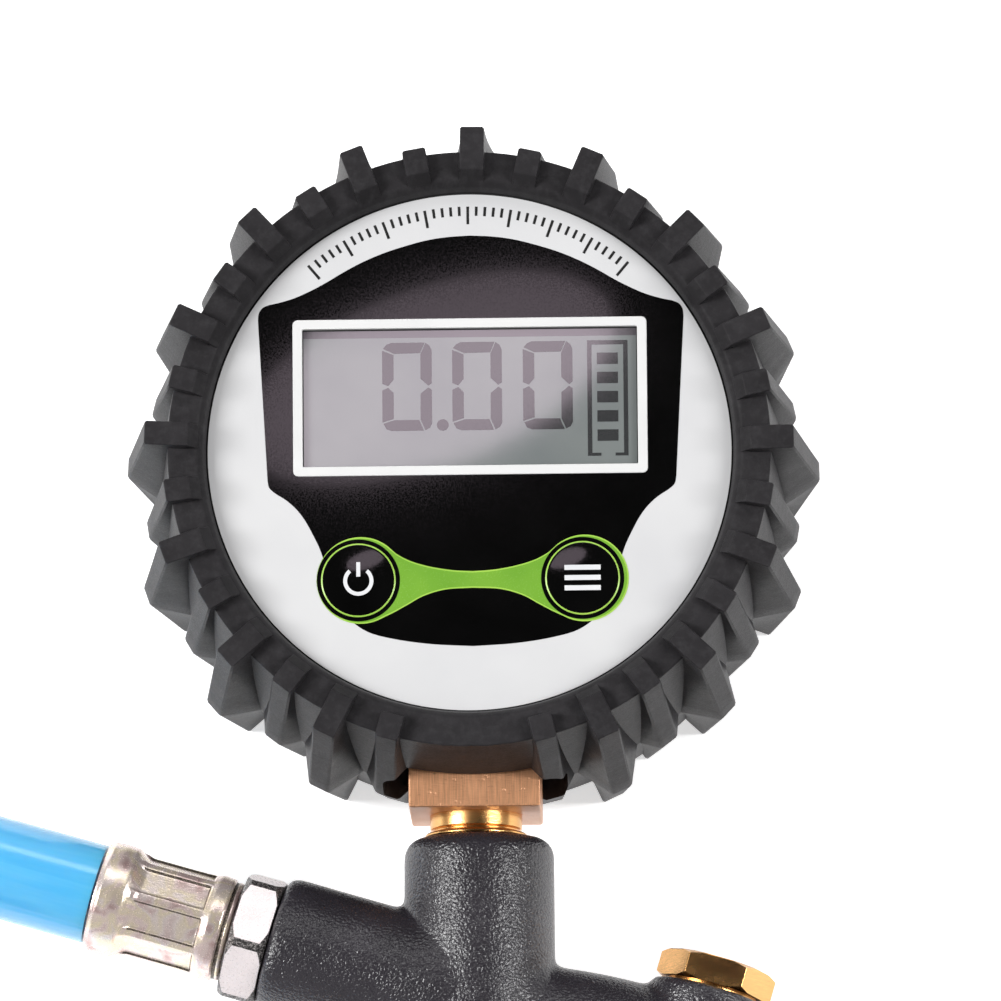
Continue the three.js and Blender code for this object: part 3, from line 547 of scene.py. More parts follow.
LIME = print_look("lime_edge", (0.34, 0.62, 0.08), (0.42, 0.68, 0.10), 0.3)
WHITE_PLASTIC = print_look("white_plastic", (0.77, 0.77, 0.765), (0.81, 0.81, 0.805), 0.3)
WHITE_INK = print_look("white_ink", (0.75, 0.76, 0.78), (0.85, 0.85, 0.86), 0.35)
BLACK_PLASTIC = print_look("black_plastic", (0.018, 0.018, 0.019), (0.028, 0.028, 0.029), 0.5, 4.0, 0.6)
SEAL_RUBBER = print_look("seal_rubber", 0.012, 0.02, 0.6)
BOARD_GREEN = print_look("board_mask", (0.01, 0.12, 0.04), (0.02, 0.18, 0.06), 0.35)
CELL_JACKET = print_look("cell_jacket", (0.03, 0.14, 0.4), (0.05, 0.2, 0.5), 0.25)
FLEX_FILM = print_look("flex_film", (0.45, 0.22, 0.03), (0.6, 0.32, 0.06), 0.3)
LCD_GREY = display_look("lcd_ground", (0.185, 0.205, 0.205), (0.22, 0.24, 0.235))
LCD_DARK = display_look("lcd_segments", (0.035, 0.037, 0.038), (0.045, 0.047, 0.048))
# Painted shadow of the bezel, for the strip along the display's top.
LCD_PAINTED_SHADOW = display_look("lcd_shade", (0.10, 0.095, 0.105), (0.12, 0.11, 0.12))

# ---- hose
HOSE_R = 5.9
HOSE_GAP = 0.02     # how far the visual hose lies inside the CAD hose
HOSE_ROUTE = [
    (-44.61, -48.57, 24), (-51, -46.7, 24), (-58, -44.65, 23.9), (-68, -41.7, 23.2),
    (-79, -38.9, 21), (-90, -36.9, 17.4), (-101, -35.9, 13.3), (-113, -36.3, 9.6),
    (-125, -38.6, 7.2), (-137, -43.2, 6.1), (-150, -51, 5.93), (-161, -61, 5.93),
    (-169.3, -73.5, 5.93), (-174.1, -88, 5.93), (-175, -103.5, 5.93), (-172.1, -118.5, 5.93),
    (-164.8, -133, 5.93), (-154, -144.5, 5.93), (-140, -153, 5.93), (-124, -158, 5.93),
    (-107, -160.3, 5.93), (-90, -161, 6.3), (-77, -161, 7.3), (-66, -161, 8.4), (-58, -161, 8.9),
    (-52, -161, 9),
]


def smooth_path(points, steps):
    """Centripetal Catmull-Rom curve through the points, in that many steps between two."""
    p = [Vector(q) for q in points]
    p = [2 * p[0] - p[1], *p, 2 * p[-1] - p[-2]]
    result = []
    for i in range(1, len(p) - 2):
        t = [0.0]
        for k in range(3):
            t.append(t[-1] + (p[i + k] - p[i + k - 1]).length ** 0.5)
        for s in range(steps):
            u = t[1] + (t[2] - t[1]) * s / steps
            a = [
                ((t[k + 1] - u) * p[i - 1 + k] + (u - t[k]) * p[i + k]) / (t[k + 1] - t[k])
                for k in range(3)
            ]
            b = [((t[k + 2] - u) * a[k] + (u - t[k]) * a[k + 1]) / (t[k + 2] - t[k]) for k in range(2)]
            result.append(((t[2] - u) * b[0] + (u - t[1]) * b[1]) / (t[2] - t[1]))
    result.append(p[-2])
    return result


def tube(path, radius, sides):
    """A closed round tube with U along it in tens of millimetres and V round it."""
    bm = bmesh.new()
    uv_layer = bm.loops.layers.uv.new("UVMap")
    side = Vector((0, 0, 1))
    rings, lengths = [], [0.0]
    for i, point in enumerate(path):
        ahead = (path[min(i + 1, len(path) - 1)] - path[max(i - 1, 0)]).normalized()
        side = (side - side.dot(ahead) * ahead).normalized()
        other = ahead.cross(side)
        rings.append([
            bm.verts.new(point + radius * (math.cos(a) * side + math.sin(a) * other))
            for a in (2 * math.pi * k / sides for k in range(sides))
        ])
        if i:
            lengths.append(lengths[-1] + (point - path[i - 1]).length)
    for i in range(len(rings) - 1):
        for k in range(sides):
            m = (k + 1) % sides
            face = bm.faces.new((rings[i][k], rings[i][m], rings[i + 1][m], rings[i + 1][k]))
            spots = ((i, k), (i, k + 1), (i + 1, k + 1), (i + 1, k))
            for loop, (row, column) in zip(face.loops, spots):
                loop[uv_layer].uv = (lengths[row] / 10, column / sides)
    bm.faces.new(rings[0][::-1])
    bm.faces.new(rings[-1])
    return outward(bm), lengths[-1]


hose_path = smooth_path(HOSE_ROUTE, 8)
hose_mesh, hose_length = tube(hose_path, HOSE_R - HOSE_GAP, 40)
hose = piece("hose_skin", hose_mesh, TOOL, HOSE, stands_for=["hose"], weighted=False)


# ---- tread boot
BOOT_DEPTH = 48.0
BOOT_FACE_R, LUG_ROOT_R = 34.2, 36.2    # where the lugs' sides start, at the faces and at their tips
BOOT_LIP_R = 32.6
BOOT_TURN = -1 * DEG
LUG_PITCH = 22 * DEG
# Half the bar's width and its outer radius at the face, the same at its tip, and half its foot there.
LARGE_LUG = {"half": 1.4, "front": 37.65, "tip": 40.7, "tip_half": 1.2, "foot": 4.1}
SMALL_LUG = {"half": 1.36, "front": 35.6, "tip": 38.7, "tip_half": 1.1, "foot": 3.2}
LUG_LEVELS = 8
LUG_CORNER, LUG_CORNER_CUT = 0.62, 0.2      # the chamfer of a bar's outer corner, along and across
HOLE_W, HOLE_H = 21.6, 16.4


def between(a, b, t):
    return a + (b - a) * t


def lug(size, angle):
    """A bar at each face of the boot, swelling to a flared tip at the parting line between them."""
    bm = bmesh.new()
    rows = []
    for level in range(-LUG_LEVELS, LUG_LEVELS + 1):
        t = 1 - abs(level) / LUG_LEVELS
        z = STEM_Z * (1 + level / LUG_LEVELS)
        corner = between(size["half"], size["tip_half"], t), between(size["front"], size["tip"], t)
        foot = between(size["half"], size["foot"], t ** 1.25), between(BOOT_FACE_R, LUG_ROOT_R, t)
        end = (foot[0], BOOT_LIP_R + 2.2 * t)
        reach = math.dist(foot, corner)
        side = [end] + [
            (between(foot[0], corner[0], k), between(foot[1], corner[1], k))
            for k in (0, 0.25, 0.5, 1 - LUG_CORNER / reach, 1 - LUG_CORNER_CUT / reach)
        ]
        side += [(corner[0] - LUG_CORNER_CUT, corner[1]), (corner[0] - LUG_CORNER, corner[1])]
        outline = side + [(-x, y) for x, y in reversed(side)]
        rows.append([bm.verts.new((x, y, z)) for x, y in outline])
    skinned(bm, rows)
    bm.faces.new(rows[0])
    bm.faces.new(rows[-1])
    outward(bm)

    def on_a_face(edge):
        return all(min(abs(v.co.z), abs(v.co.z - BOOT_DEPTH)) < 1e-4 for v in edge.verts)

    bevelled(bm, 0.2, 2, 30, on_a_face)
    nose_side = (
        (33.2, BOOT_DEPTH - 0.06), (BOOT_LIP_R, BOOT_DEPTH - 0.06), (31.45, BOOT_DEPTH - 1.7),
        (33.2, BOOT_DEPTH - 3),
    )
    nose = hull([(side * size["half"], y, z) for side in (-1, 1) for y, z in nose_side])
    return rotated(merged(bm, bevelled(nose, 0.12, 2, 30)), angle)


def stem_hole():
    """The opening in the boot's wall for the stem block."""
    outline = rounded_rectangle(0, STEM_Z, HOLE_W, HOLE_H, 4.0)
    return rotated(extruded(outline, 28, 46), 90 * DEG, "X")


def on_hole_rim(edge):
    x, y, z = edge.verts[0].co
    return y < -30 and abs(x) < HOLE_W / 2 + 0.2 and abs(z - STEM_Z) < HOLE_H / 2 + 0.3


def boot():
    """The shell with its lugs. The two small lugs beside the stem's hole are cut by it."""
    shell = turned([
        (30.0, 0.0), (33.9, 0.0), (35.0, 1.4), (36.8, STEM_Z), (35.0, BOOT_DEPTH - 1.55),
        (31.6, BOOT_DEPTH - 1.6), (31.0, BOOT_DEPTH - 2.4), (30.54, DIAL_Z + 0.1), (33.9, DIAL_Z - 0.1),
        (33.9, 3.1), (30.0, 3.1),
    ], 0.35, 176)
    shell = boolean(rotated(shell, BOOT_TURN), [stem_hole()])
    rim = [edge for edge in sharp_edges(shell, 50) if on_hole_rim(edge)]
    bmesh.ops.bevel(shell, geom=rim, offset=0.3, segments=2, profile=0.5, affect="EDGES")
    lugs = [lug(LARGE_LUG, 0)]
    for side in (-1, 1):
        lugs += [lug(LARGE_LUG, side * i * LUG_PITCH) for i in range(1, 8)]
        lugs += [lug(SMALL_LUG, side * (i + 0.5) * LUG_PITCH) for i in range(7)]
    by_hole = []
    for side in (-1, 1):
        small = rotated(lug(SMALL_LUG, side * 7.5 * LUG_PITCH), BOOT_TURN)
        by_hole.append(boolean(small, [stem_hole()]))
    return merged(shell, rotated(merged(*lugs), BOOT_TURN), *by_hole)


piece("boot_skin", boot(), TOOL, RUBBER, stands_for=["tread_boot"], smooth=30)

# ---- printed face
FACE_X = 0.25       # the print sits this far right of the dial's axis


def mirrored(half):
    """A closed outline from its right half, which runs from top to bottom."""
    right = [(FACE_X + x, y) for x, y in half]
    left = [(FACE_X - x, y) for x, y in reversed(half) if x > 1e-6]
    return right + left


def curve_through(points, steps=6):
    return [(v.x, v.y) for v in smooth_path([(x, y, 0) for x, y in points], steps)]


SCREEN_X, SCREEN_Y, SCREEN_W, SCREEN_H, SCREEN_RIM = 0.1, 6.5, 41.2, 18.5, 1.13


def screen_opening():
    outline = rounded_rectangle(SCREEN_X, SCREEN_Y, SCREEN_W - 0.6, SCREEN_H - 0.6, 0.6)
    return extruded(outline, DIAL_Z - 3, DIAL_Z + 1)


BUTTON_X, BUTTON_Y = 13.0, -15.05
RING_R, BUTTON_HOLE_R = 5.1, 4.4


def button_holes():
    """Room for the buttons to move in."""
    return [disc(side * BUTTON_X, BUTTON_Y, BUTTON_HOLE_R, DIAL_Z - 1, DIAL_Z + 1) for side in (-1, 1)]


face_plate = disc(0, 0, 30.42, DIAL_Z - 0.35, DIAL_Z, 256)
piece("face_plate", boolean(face_plate, [screen_opening(), *button_holes()]), TOOL, SILVER_PRINT,
      stands_for=["face_label"], weighted=False)

PANEL_TOP = curve_through([
    (0, 25.55), (2.6, 25.4), (5.0, 25.05), (7.5, 24.4), (10.0, 23.6), (12.4, 22.6), (14.7, 21.4),
    (16.8, 20.15), (18.7, 19.15), (20.4, 18.4), (22.2, 17.85), (23.4, 17.6),
], 4)
PANEL_SIDE = curve_through([(23.4, 17.6), (24.2, 17.25), (24.65, 16.6), (24.75, 15.7)], 3)
PANEL_LOW = curve_through([
    (23.72, -3.2), (23.55, -4.0), (22.9, -4.65), (21.6, -5.5), (20.3, -6.7), (19.3, -8.1), (18.5, -9.6),
    (17.7, -11.3), (17.0, -13.5),
], 4)
PANEL_FOOT = curve_through([
    (16.0, -17.5), (14.2, -19.7), (12.2, -21.1), (9.5, -21.9), (5.0, -22.6), (0, -22.9),
], 4)
panel_outline = mirrored(PANEL_TOP + PANEL_SIDE[1:] + PANEL_LOW + PANEL_FOOT)
face_panel = extruded(panel_outline, DIAL_Z - 0.05, DIAL_Z + 0.03)
face_panel = boolean(face_panel, [screen_opening(), *button_holes()])
piece("face_panel", face_panel, TOOL, BLACK_GLOSS)


def bridge_half(grow):
    """Right half of the band that joins the two button rings, from top to bottom."""
    top = curve_through([
        (0, -14.1 + grow), (2.4, -13.95 + grow), (5.2, -13.45 + grow), (7.4, -12.75 + grow),
        (9.2, -11.75 + grow),
    ], 5)
    ring = arc(BUTTON_X, BUTTON_Y, RING_R + grow, 128, -118, 40)
    low = curve_through([
        (9.4, -19.0 - grow), (7.6, -18.0 - grow), (5.8, -17.0 - grow), (3.3, -16.25 - grow),
        (0, -16.05 - grow),
    ], 5)
    return top[:-1] + ring + low[1:]


for name, shrink, rise, look in (("bridge_edge", 0.0, 0.05, LIME), ("bridge_print", 0.17, 0.07, GREEN)):
    band = extruded(mirrored(bridge_half(-shrink)), DIAL_Z, DIAL_Z + rise)
    piece(name, boolean(band, button_holes()), TOOL, look)


for side, name in ((-1, "power"), (1, "function")):
    x = side * BUTTON_X
    well = lathe([(4.36, DIAL_Z), (4.82, DIAL_Z), (4.82, DIAL_Z + 0.09), (4.36, DIAL_Z + 0.09)], 72)
    piece(f"{name}_well", moved(well, x, BUTTON_Y), TOOL, BLACK_GLOSS)
    cap = turned([
        (0, 39.3), (1.6, 39.3), (1.6, 40.2), (5.1, 40.2), (5.1, 41.1), (4.33, 41.1),
        (4.33, DIAL_Z + 0.1), (4.1, DIAL_Z + 0.2), (0, DIAL_Z + 0.36),
    ], 0.12, 72)
    body = f"{name}_key"
    piece(f"{name}_cap", moved(cap, x, BUTTON_Y), TOOL, BLACK_GLOSS, body, [f"{name}_button"])
    # A lime ring over the cap's bevelled edge: painted green highlight.
    piece(f"{name}_rim", moved(turned([
        (4.16, DIAL_Z + 0.05), (4.34, DIAL_Z + 0.05), (4.34, DIAL_Z + 0.17), (4.16, DIAL_Z + 0.25),
    ], 0.03, 72), x, BUTTON_Y), TOOL, LIME, body)

MARK_Z, MARK_TOP = DIAL_Z + 0.33, DIAL_Z + 0.33 + 0.06
power_mark = merged(
    *[extruded(arc(0, 0, 1.75, a, a + 10, 2) + arc(0, 0, 1.3, a + 10, a, 2), MARK_Z, MARK_TOP)
      for a in range(130, 410, 10)],
    block(-0.23, 0.23, 0.5, 2.2, MARK_Z, MARK_TOP),
)
moved(power_mark, -BUTTON_X, BUTTON_Y - 0.1)
piece("power_mark", power_mark, TOOL, WHITE_INK, "power_key")
function_mark = merged(*[
    bevelled(block(-2.1, 2.1, y - 0.3, y + 0.3, MARK_Z, MARK_TOP), 0.05) for y in (-1.2, 0, 1.2)
])
moved(function_mark, BUTTON_X, BUTTON_Y)
piece("function_mark", function_mark, TOOL, WHITE_INK, "function_key")


def scale_marks():
    """Plain scale over the display: short strokes, every fifth one longer."""
    marks = []
    for i in range(-20, 21):
        inner = 26.9 if i % 5 == 0 else 27.9
        stroke = block(-0.16, 0.16, inner, 29.0, DIAL_Z - 0.02, DIAL_Z + 0.03)
        marks.append(rotated(bevelled(stroke, 0.02), i * 2 * DEG))
    return merged(*marks)


piece("scale_marks", scale_marks(), TOOL, BLACK_INK)

# ---- display
LCD_Z = 43.1
WINDOW_W, WINDOW_H = SCREEN_W - 2 * SCREEN_RIM, SCREEN_H - 2 * SCREEN_RIM


def screen_block(w, h, r, z0, z1):
    """A block on the display's axis, with corners of radius r."""
    return extruded(rounded_rectangle(SCREEN_X, SCREEN_Y, w, h, r, 3), z0, z1)


def display_bezel():
    outer = screen_block(SCREEN_W, SCREEN_H, 0.6, DIAL_Z - 2.2, DIAL_Z + 0.15)
    inner = screen_block(WINDOW_W, WINDOW_H, 0.12, DIAL_Z - 3, DIAL_Z + 1)
    return bevelled(boolean(outer, [inner]), 0.14, 2, 50)


piece("display_bezel", display_bezel(), TOOL, WHITE_PLASTIC,
      stands_for=["display_frame"])
gasket = screen_block(39.1, 16.4, 0.15, LCD_Z - 0.3, LCD_Z + 0.22)
piece("display_gasket", boolean(gasket, [screen_block(38.74, 16.04, 0.1, LCD_Z - 1, LCD_Z + 1)]), TOOL,
      BLACK_INK)
glass_left, glass_right = SCREEN_X - (WINDOW_W + 0.3) / 2, SCREEN_X + (WINDOW_W + 0.3) / 2
glass_low, glass_high = SCREEN_Y - (WINDOW_H + 0.3) / 2, SCREEN_Y + (WINDOW_H + 0.3) / 2
lcd = merged(
    block(glass_left, glass_right, glass_low, glass_high, 41.0, LCD_Z),
    block(SCREEN_X - 21.4, SCREEN_X + 21.4, SCREEN_Y - 10.4, SCREEN_Y + 10.4, 38.5, 40.9),
)
piece("lcd_glass", lcd, TOOL, LCD_GREY, stands_for=["lcd_module", "display_window"])
# A darker strip across the display's top: painted shadow of the bezel.
piece("lcd_painted_shadow", block(glass_left, glass_right, 13.65, glass_high, LCD_Z - 0.1, LCD_Z + 0.02), TOOL,
      LCD_PAINTED_SHADOW)

# A nought, 5.75 wide and 10.4 high, as its six bars' outlines with mitred joints.
NOUGHT_BARS = (
    [(0.1, 9.72), (0.5, 10.2), (1.05, 10.42), (4.93, 10.42), (4.4, 9.18), (1.38, 9.12)],
    [(0, 9.5), (1.3, 8.98), (1.3, 6.05), (0.68, 5.32), (0, 5.58)],
    [(5.05, 10.38), (5.5, 10.05), (5.75, 9.5), (5.75, 5.62), (5.34, 5.32), (4.46, 6.15), (4.46, 9.05)],
    [(0, 4.8), (0.68, 5.1), (1.3, 4.5), (1.3, 1.44), (0, 1.02)],
    [(5.34, 5.1), (5.75, 4.82), (5.75, 0.85), (5.5, 0.35), (4.98, 0.06), (4.44, 1.3), (4.46, 4.36)],
    [(0.12, 0.86), (1.4, 1.28), (4.26, 1.28), (4.8, 0.0), (1.05, 0.0), (0.45, 0.22)],
)
DIGITS_X, DIGITS_Y = (-10.1, -1.95, 6.27), 2.65
# The battery symbol's outline and its five bars, each from x to x and from y to y.
BATTERY = [
    (13.75, 14.25, -0.55, 13.1), (17.95, 18.45, -0.55, 13.1), (14.25, 17.95, 12.6, 13.1),
    (14.25, 15.3, -0.55, -0.2), (16.95, 17.95, -0.55, -0.2),
] + [(14.88, 17.3, y, y + 1.35) for y in (10.28 - 2.27 * i for i in range(5))]


def lcd_print():
    """Three noughts with a point, and the battery symbol."""
    z0, z1 = LCD_Z - 0.02, LCD_Z + 0.03
    shapes = [moved(extruded(bar, z0, z1), x, DIGITS_Y) for x in DIGITS_X for bar in NOUGHT_BARS]
    shapes.append(disc(-3.1, 3.3, 0.68, z0, z1, 32))
    return merged(*shapes, *[block(*sides, z0, z1) for sides in BATTERY])


piece("lcd_print", lcd_print(), TOOL, LCD_DARK)

# ---- stem
STEM_HALF = 7.7
stem = block(-STEM_HALF, STEM_HALF, -39.8, -27.4, STEM_Z - STEM_HALF, STEM_Z + STEM_HALF)
piece("stem_skin", bevelled(stem, 0.28), TOOL, BRASS, stands_for=["stem_block"])
collar = turned([
    (0, 0), (5.4, 0), (5.4, 1.75), (5.0, 1.85), (5.0, 2.1), (5.45, 2.15), (5.9, 2.3), (6.0, 2.45),
    (6.0, 2.68), (4.5, 2.7), (4.5, 10), (4.0, 10.5), (0, 10.5),
], 0.12)
piece("stem_collar", moved(along_y(collar, -1), 0, -39.75, STEM_Z), TOOL, TURNED_BRASS)

# ---- valve body
BOSS_R, BOSS_TOP, BOSS_ROUND, BOSS_SHIFT = 8.8, -42.5, 2.2, 0.35
BOSS_LENGTH = BOSS_TOP - BODY_Y
BODY_VOXEL = 0.42
VALVE_X = 26.0
PIVOT_X, PIVOT_Y = 10.0, -15.5
INLET_Y = -1.0
# X along the handle, Y of its middle, and half its size in Y and in Z.
HANDLE_SECTIONS = [
    (-2, -0.6, 7.6, 7.6), (6, -1.4, 7.8, 7), (14, -2.6, 9.7, 8), (24, -3, 10.4, 9.4),
    (40, -2.2, 10.4, 9.9), (58, -1.4, 10.1, 10), (76, -0.7, 9.8, 9.8), (92, -0.1, 9.4, 9.4),
    (100, 0, 9.1, 9.1), (103, 0, 8.6, 8.6), (104, 0, 7.6, 7.6),
]


def lofted(sections, sides=64, steps=4):
    """A closed solid through oval sections."""
    rows = smooth_path([(x, y, 0) for x, y, _, _ in sections], steps)
    sizes = smooth_path([(x, a, b) for x, _, a, b in sections], steps)
    bm = bmesh.new()
    rings = []
    for place, size in zip(rows, sizes):
        rings.append([
            bm.verts.new((place.x, place.y + size.y * math.cos(a), size.z * math.sin(a)))
            for a in (2 * math.pi * k / sides for k in range(sides))
        ])
    skinned(bm, rings)
    bm.faces.new(rings[0])
    bm.faces.new(rings[-1])
    return outward(bm)


def body_casting():
    """The casting's solids melted together, with fillets where they meet."""
    barrel = along_x(lathe([
        (0, -25), (7.4, -25), (7.95, -24.6), (8.15, -23.6), (8.1, -18), (8.1, -11), (8.5, -5), (8.3, 2),
        (6.9, 7), (4, 10), (0, 11),
    ]))
    shoulder = arc(BOSS_R - BOSS_ROUND, BOSS_LENGTH - BOSS_ROUND, BOSS_ROUND, 0, 90, 9)
    boss = along_y(lathe([(0, -2), (BOSS_R, -2), *shoulder, (0, BOSS_LENGTH)]))
    boss = moved(rotated(boss, -BODY_TILT), BOSS_SHIFT)
    tongue = extruded(rounded_rectangle(PIVOT_X, PIVOT_Y + 3.7, 6.6, 14, 3.3), -4.5, 4.5)
    guide = moved(along_y(cylinder(4, 4, 14.2, 48), -1), VALVE_X)
    pad = moved(along_y(lathe([(0, 2), (7.2, 2), (7.2, 8.2), (6.9, 8.4), (0, 8.4)], 64)), VALVE_X)
    solid = merged(barrel, boss, lofted(HANDLE_SECTIONS), tongue, guide, pad)

    def melt(obj):
        remesh = obj.modifiers.new("melt", "REMESH")
        remesh.mode = "VOXEL"
        remesh.voxel_size = BODY_VOXEL
        ease = obj.modifiers.new("ease", "SMOOTH")
        ease.factor = 0.5
        ease.iterations = 10

    return with_modifiers(solid, melt)


def pivot_hole():
    return disc(PIVOT_X, PIVOT_Y, 1.8, -12, 12, 32)


def hollows():
    """What is cut out of the casting: both ports, the valve's bores and the lever's pin hole."""
    port = along_x(lathe([(0, -27), (6.0, -27), (5.6, -24.4), (5.6, -13), (0, -13)], 48))
    inlet = moved(along_x(cylinder(5.8, 91.5, 106, 48)), 0, INLET_Y)
    cap = moved(along_y(cylinder(5.8, 4, 10, 48)), VALVE_X)
    rod_hole = moved(along_y(cylinder(2.3, 10, 16, 32), -1), VALVE_X)
    return [port, inlet, cap, rod_hole, pivot_hole()]


piece("body_skin", boolean(body_casting(), hollows()), BODY, COATING,
      stands_for=["valve_body"], smooth=50, weighted=False)


# ---- valve fittings
def hexagon(across_flats, z0, z1, chamfer, turn=0.0, corner_r=None):
    """A hexagonal prism, its corners turned off at both ends, and at corner_r along their length."""
    r = across_flats / math.sqrt(3)
    corner = [(r * math.cos(a), r * math.sin(a)) for a in (turn + k * 60 * DEG for k in range(6))]
    prism = bevelled(extruded(corner, z0, z1), 0.12, 2)
    face = across_flats / 2
    wide = corner_r or r + 0.4
    cone = lathe([
        (0, z0), (face + 0.1, z0), (wide, z0 + chamfer), (wide, z1 - chamfer), (face + 0.1, z1),
        (0, z1),
    ], 144)
    return boolean(prism, [cone], "INTERSECT")


def paint_shade_off_flats(bm, turn):
    """Gives every face of a hexagon but its six flats the second of the piece's materials, which is
    painted shade with painted glints.
    """
    for f in bm.faces:
        off = (math.atan2(f.normal.y, f.normal.x) - turn) % (60 * DEG) - 30 * DEG
        if abs(f.normal.z) > 0.05 or abs(off) > 1 * DEG:
            f.material_index = 1
    return bm


def at_valve(bm):
    return moved(along_y(bm), VALVE_X)


piece("cap_skin", merged(at_valve(hexagon(12, 8.8, 12, 0.7)), at_valve(turned(
    [(0, 3.1), (5.3, 3.1), (5.3, 8.9), (0, 8.9)], 0.2, 48,
))), BODY, TURNED_BRASS, stands_for=["valve_cap"])
piece("plunger_skin", at_valve(turned([
    (0, -20.2), (1.4, -20.2), (2, -19.6), (2, -10.4), (1.5, -10.2), (1.5, -9.3), (2, -9.1), (2, -7.4),
    (4, -7.4), (4, -5.6), (1.4, -5.2), (1.4, -2.6), (0, -2.6),
], 0.15, 48)), BODY, TURNED_BRASS, "valve", ["valve_plunger"])


# ---- trigger lever
def bends(start, *curves, steps=10):
    """The points from start along curves, each given as the point that pulls it and its end."""
    points = [start]
    for control, end in curves:
        s, c, e = Vector(points[-1]), Vector(control), Vector(end)
        points += [tuple(quadratic(s, c, e, k / steps)) for k in range(1, steps + 1)]
    return points


def lever_outline():
    """The lever's side, from above its pin along its top to its end and back."""
    crown = PIVOT_Y + 4.2
    return bends(
        (6.2, PIVOT_Y + 1), ((7, crown), (11, crown)), ((15, -11.6), (17, -14.4)),
        ((30, -17.2), (60, -20.4)), ((76, -22.7), (92, -25)), ((98, -26.2), (98, -28.6)),
        ((96, -32), (90, -31.8)), ((60, -28.6), (30, -23.6)), ((16, -22.4), (9.5, -20.8)),
        ((6, -19.4), (6.2, PIVOT_Y + 1)),
    )[:-1]


def lever_trough():
    """The space inside the lever, open towards the handle."""
    under = bends(
        (9, -19.2), ((16, -20.6), (30, -21.6)), ((60, -26.6), (90, -29.8)), ((91, -29.7), (92, -29.6)),
        ((95, -29), (95.4, -27.8)),
    )
    return extruded([(0, 0), (0, -30), *under, (95.4, 0)], -4.8, 4.8)


def lever():
    plate = extruded(lever_outline(), -6.6, 6.6)
    return bevelled(boolean(plate, [lever_trough(), pivot_hole()]), 0.4, 3, 35)


piece("lever_skin", lever(), BODY, COATING, "trigger", ["trigger_lever"], smooth=40)
piece("pin_skin", moved(turned([
    (0, -8.4), (2.2, -8.4), (2.4, -8.1), (2.4, -7.1), (1.5, -7.1), (1.5, 7.3), (1.1, 7.3), (1.1, 8.1),
    (1.5, 8.1), (1.3, 8.6), (0, 8.6),
], 0.15, 48), PIVOT_X, PIVOT_Y), BODY, STEEL, stands_for=["trigger_pin"])
piece("clip_skin", moved(bevelled(extruded(
    arc(0, 0, 2.6, 30, 330, 40) + arc(0, 0, 1.35, 330, 30, 32), 7.4, 7.9,
), 0.08), PIVOT_X, PIVOT_Y), BODY, STEEL, stands_for=["pin_clip"])

# ---- inlet fitting
plug = turned([
    (2.6, 92.4), (4.9, 92.4), (5.4, 93), (5.4, 106), (6.4, 112.4), (5, 113.4), (4.2, 114.6), (4.2, 119),
    (5.9, 120.4), (5.9, 123), (4.1, 125), (4.1, 129), (3.9, 132), (2.6, 132),
], 0.3, 72)
plug_hex = boolean(hexagon(14, 105.8, 112, 0.8, 30 * DEG), [cylinder(5, 100, 120, 48)])
piece("inlet_skin", moved(along_x(merged(plug, plug_hex)), 0, INLET_Y), BODY, NICKEL,
      stands_for=["inlet_plug"])
piece("inlet_washer", moved(along_x(turned(
    [(5.7, 104.3), (7.2, 104.3), (7.2, 105.5), (5.7, 105.5)], 0.2, 72,
)), 0, INLET_Y), BODY, WHITE_PLASTIC, stands_for=["inlet_seal"])

# ---- hose connection
HEX_AF, HEX_TURN, HEX_CORNER_R = 14.1, -13.8 * DEG, 7.86
nipple = turned([
    (2, 13.4), (4.8, 13.4), (5.3, 14), (5.3, 24.9), (5.2, 29.3), (3.9, 29.5), (3.9, 31.1), (3.2, 31.2),
    (3.2, 44.6), (2, 44.6),
], 0.15, 72)
nipple_hex = hexagon(HEX_AF, 25.1, 29.6, 0.75, HEX_TURN, HEX_CORNER_R)
nipple_hex = paint_shade_off_flats(boolean(nipple_hex, [cylinder(5, 20, 35, 48)]), HEX_TURN)
# The hexagon's turned corners and chamfers carry painted shade with painted glints.
piece("nipple_skin", along_x(merged(nipple, nipple_hex), -1), BODY, (PLATED, EDGE_PAINTED_SHADE),
      stands_for=["hose_nipple"])

FERRULE_START, FERRULE_LENGTH, FERRULE_BORE = 29.9, 16.3, 4.3
FERRULE_SIDES, FERRULE_ROWS = 256, 110
RIDGE_ANGLE = 3.8 * DEG
WINDOW_STEP = 45 * DEG
WINDOW_FLAT = 5.4       # how far a window's flat bottom is from the sleeve's axis
# The sleeve's radius over its ridges, from the hexagon's side to the hose's side.
FERRULE_PROFILE = [
    (0, 5.7), (0.2, 5.9), (0.4, 5.95), (0.55, 5.8), (0.8, 5.8), (1.15, 6.15), (2.4, 6.25), (3.5, 6.0),
    (5, 5.95), (11.0, 5.95), (12.0, 6.2), (13.1, 6.6), (14.2, 6.66), (15.6, 6.6), (16.3, 6.25),
]


def smoothstep(a, b, t):
    t = min(max((t - a) / (b - a), 0.0), 1.0)
    return t * t * (3 - 2 * t)


def on_profile(x):
    for (x0, r0), (x1, r1) in zip(FERRULE_PROFILE, FERRULE_PROFILE[1:]):
        if x <= x1:
            return r0 + (r1 - r0) * smoothstep(x0, x1, x)
    return FERRULE_PROFILE[-1][1]


def window_at(x, angle):
    """How far a point is inside a pressed window, along and across, and the window's radius there."""
    off = (angle - RIDGE_ANGLE) % WINDOW_STEP - WINDOW_STEP / 2
    along = smoothstep(3.3, 3.6, x) * (1 - smoothstep(10.9, 12.7, x))
    across = 1 - smoothstep(1.5, 1.78, abs(WINDOW_FLAT * math.tan(off)))
    return along, across, WINDOW_FLAT / math.cos(off)


def ferrule_radius(x, angle):
    along, across, flat = window_at(x, angle)
    return on_profile(x) - along * across * max(on_profile(x) - flat, 0)


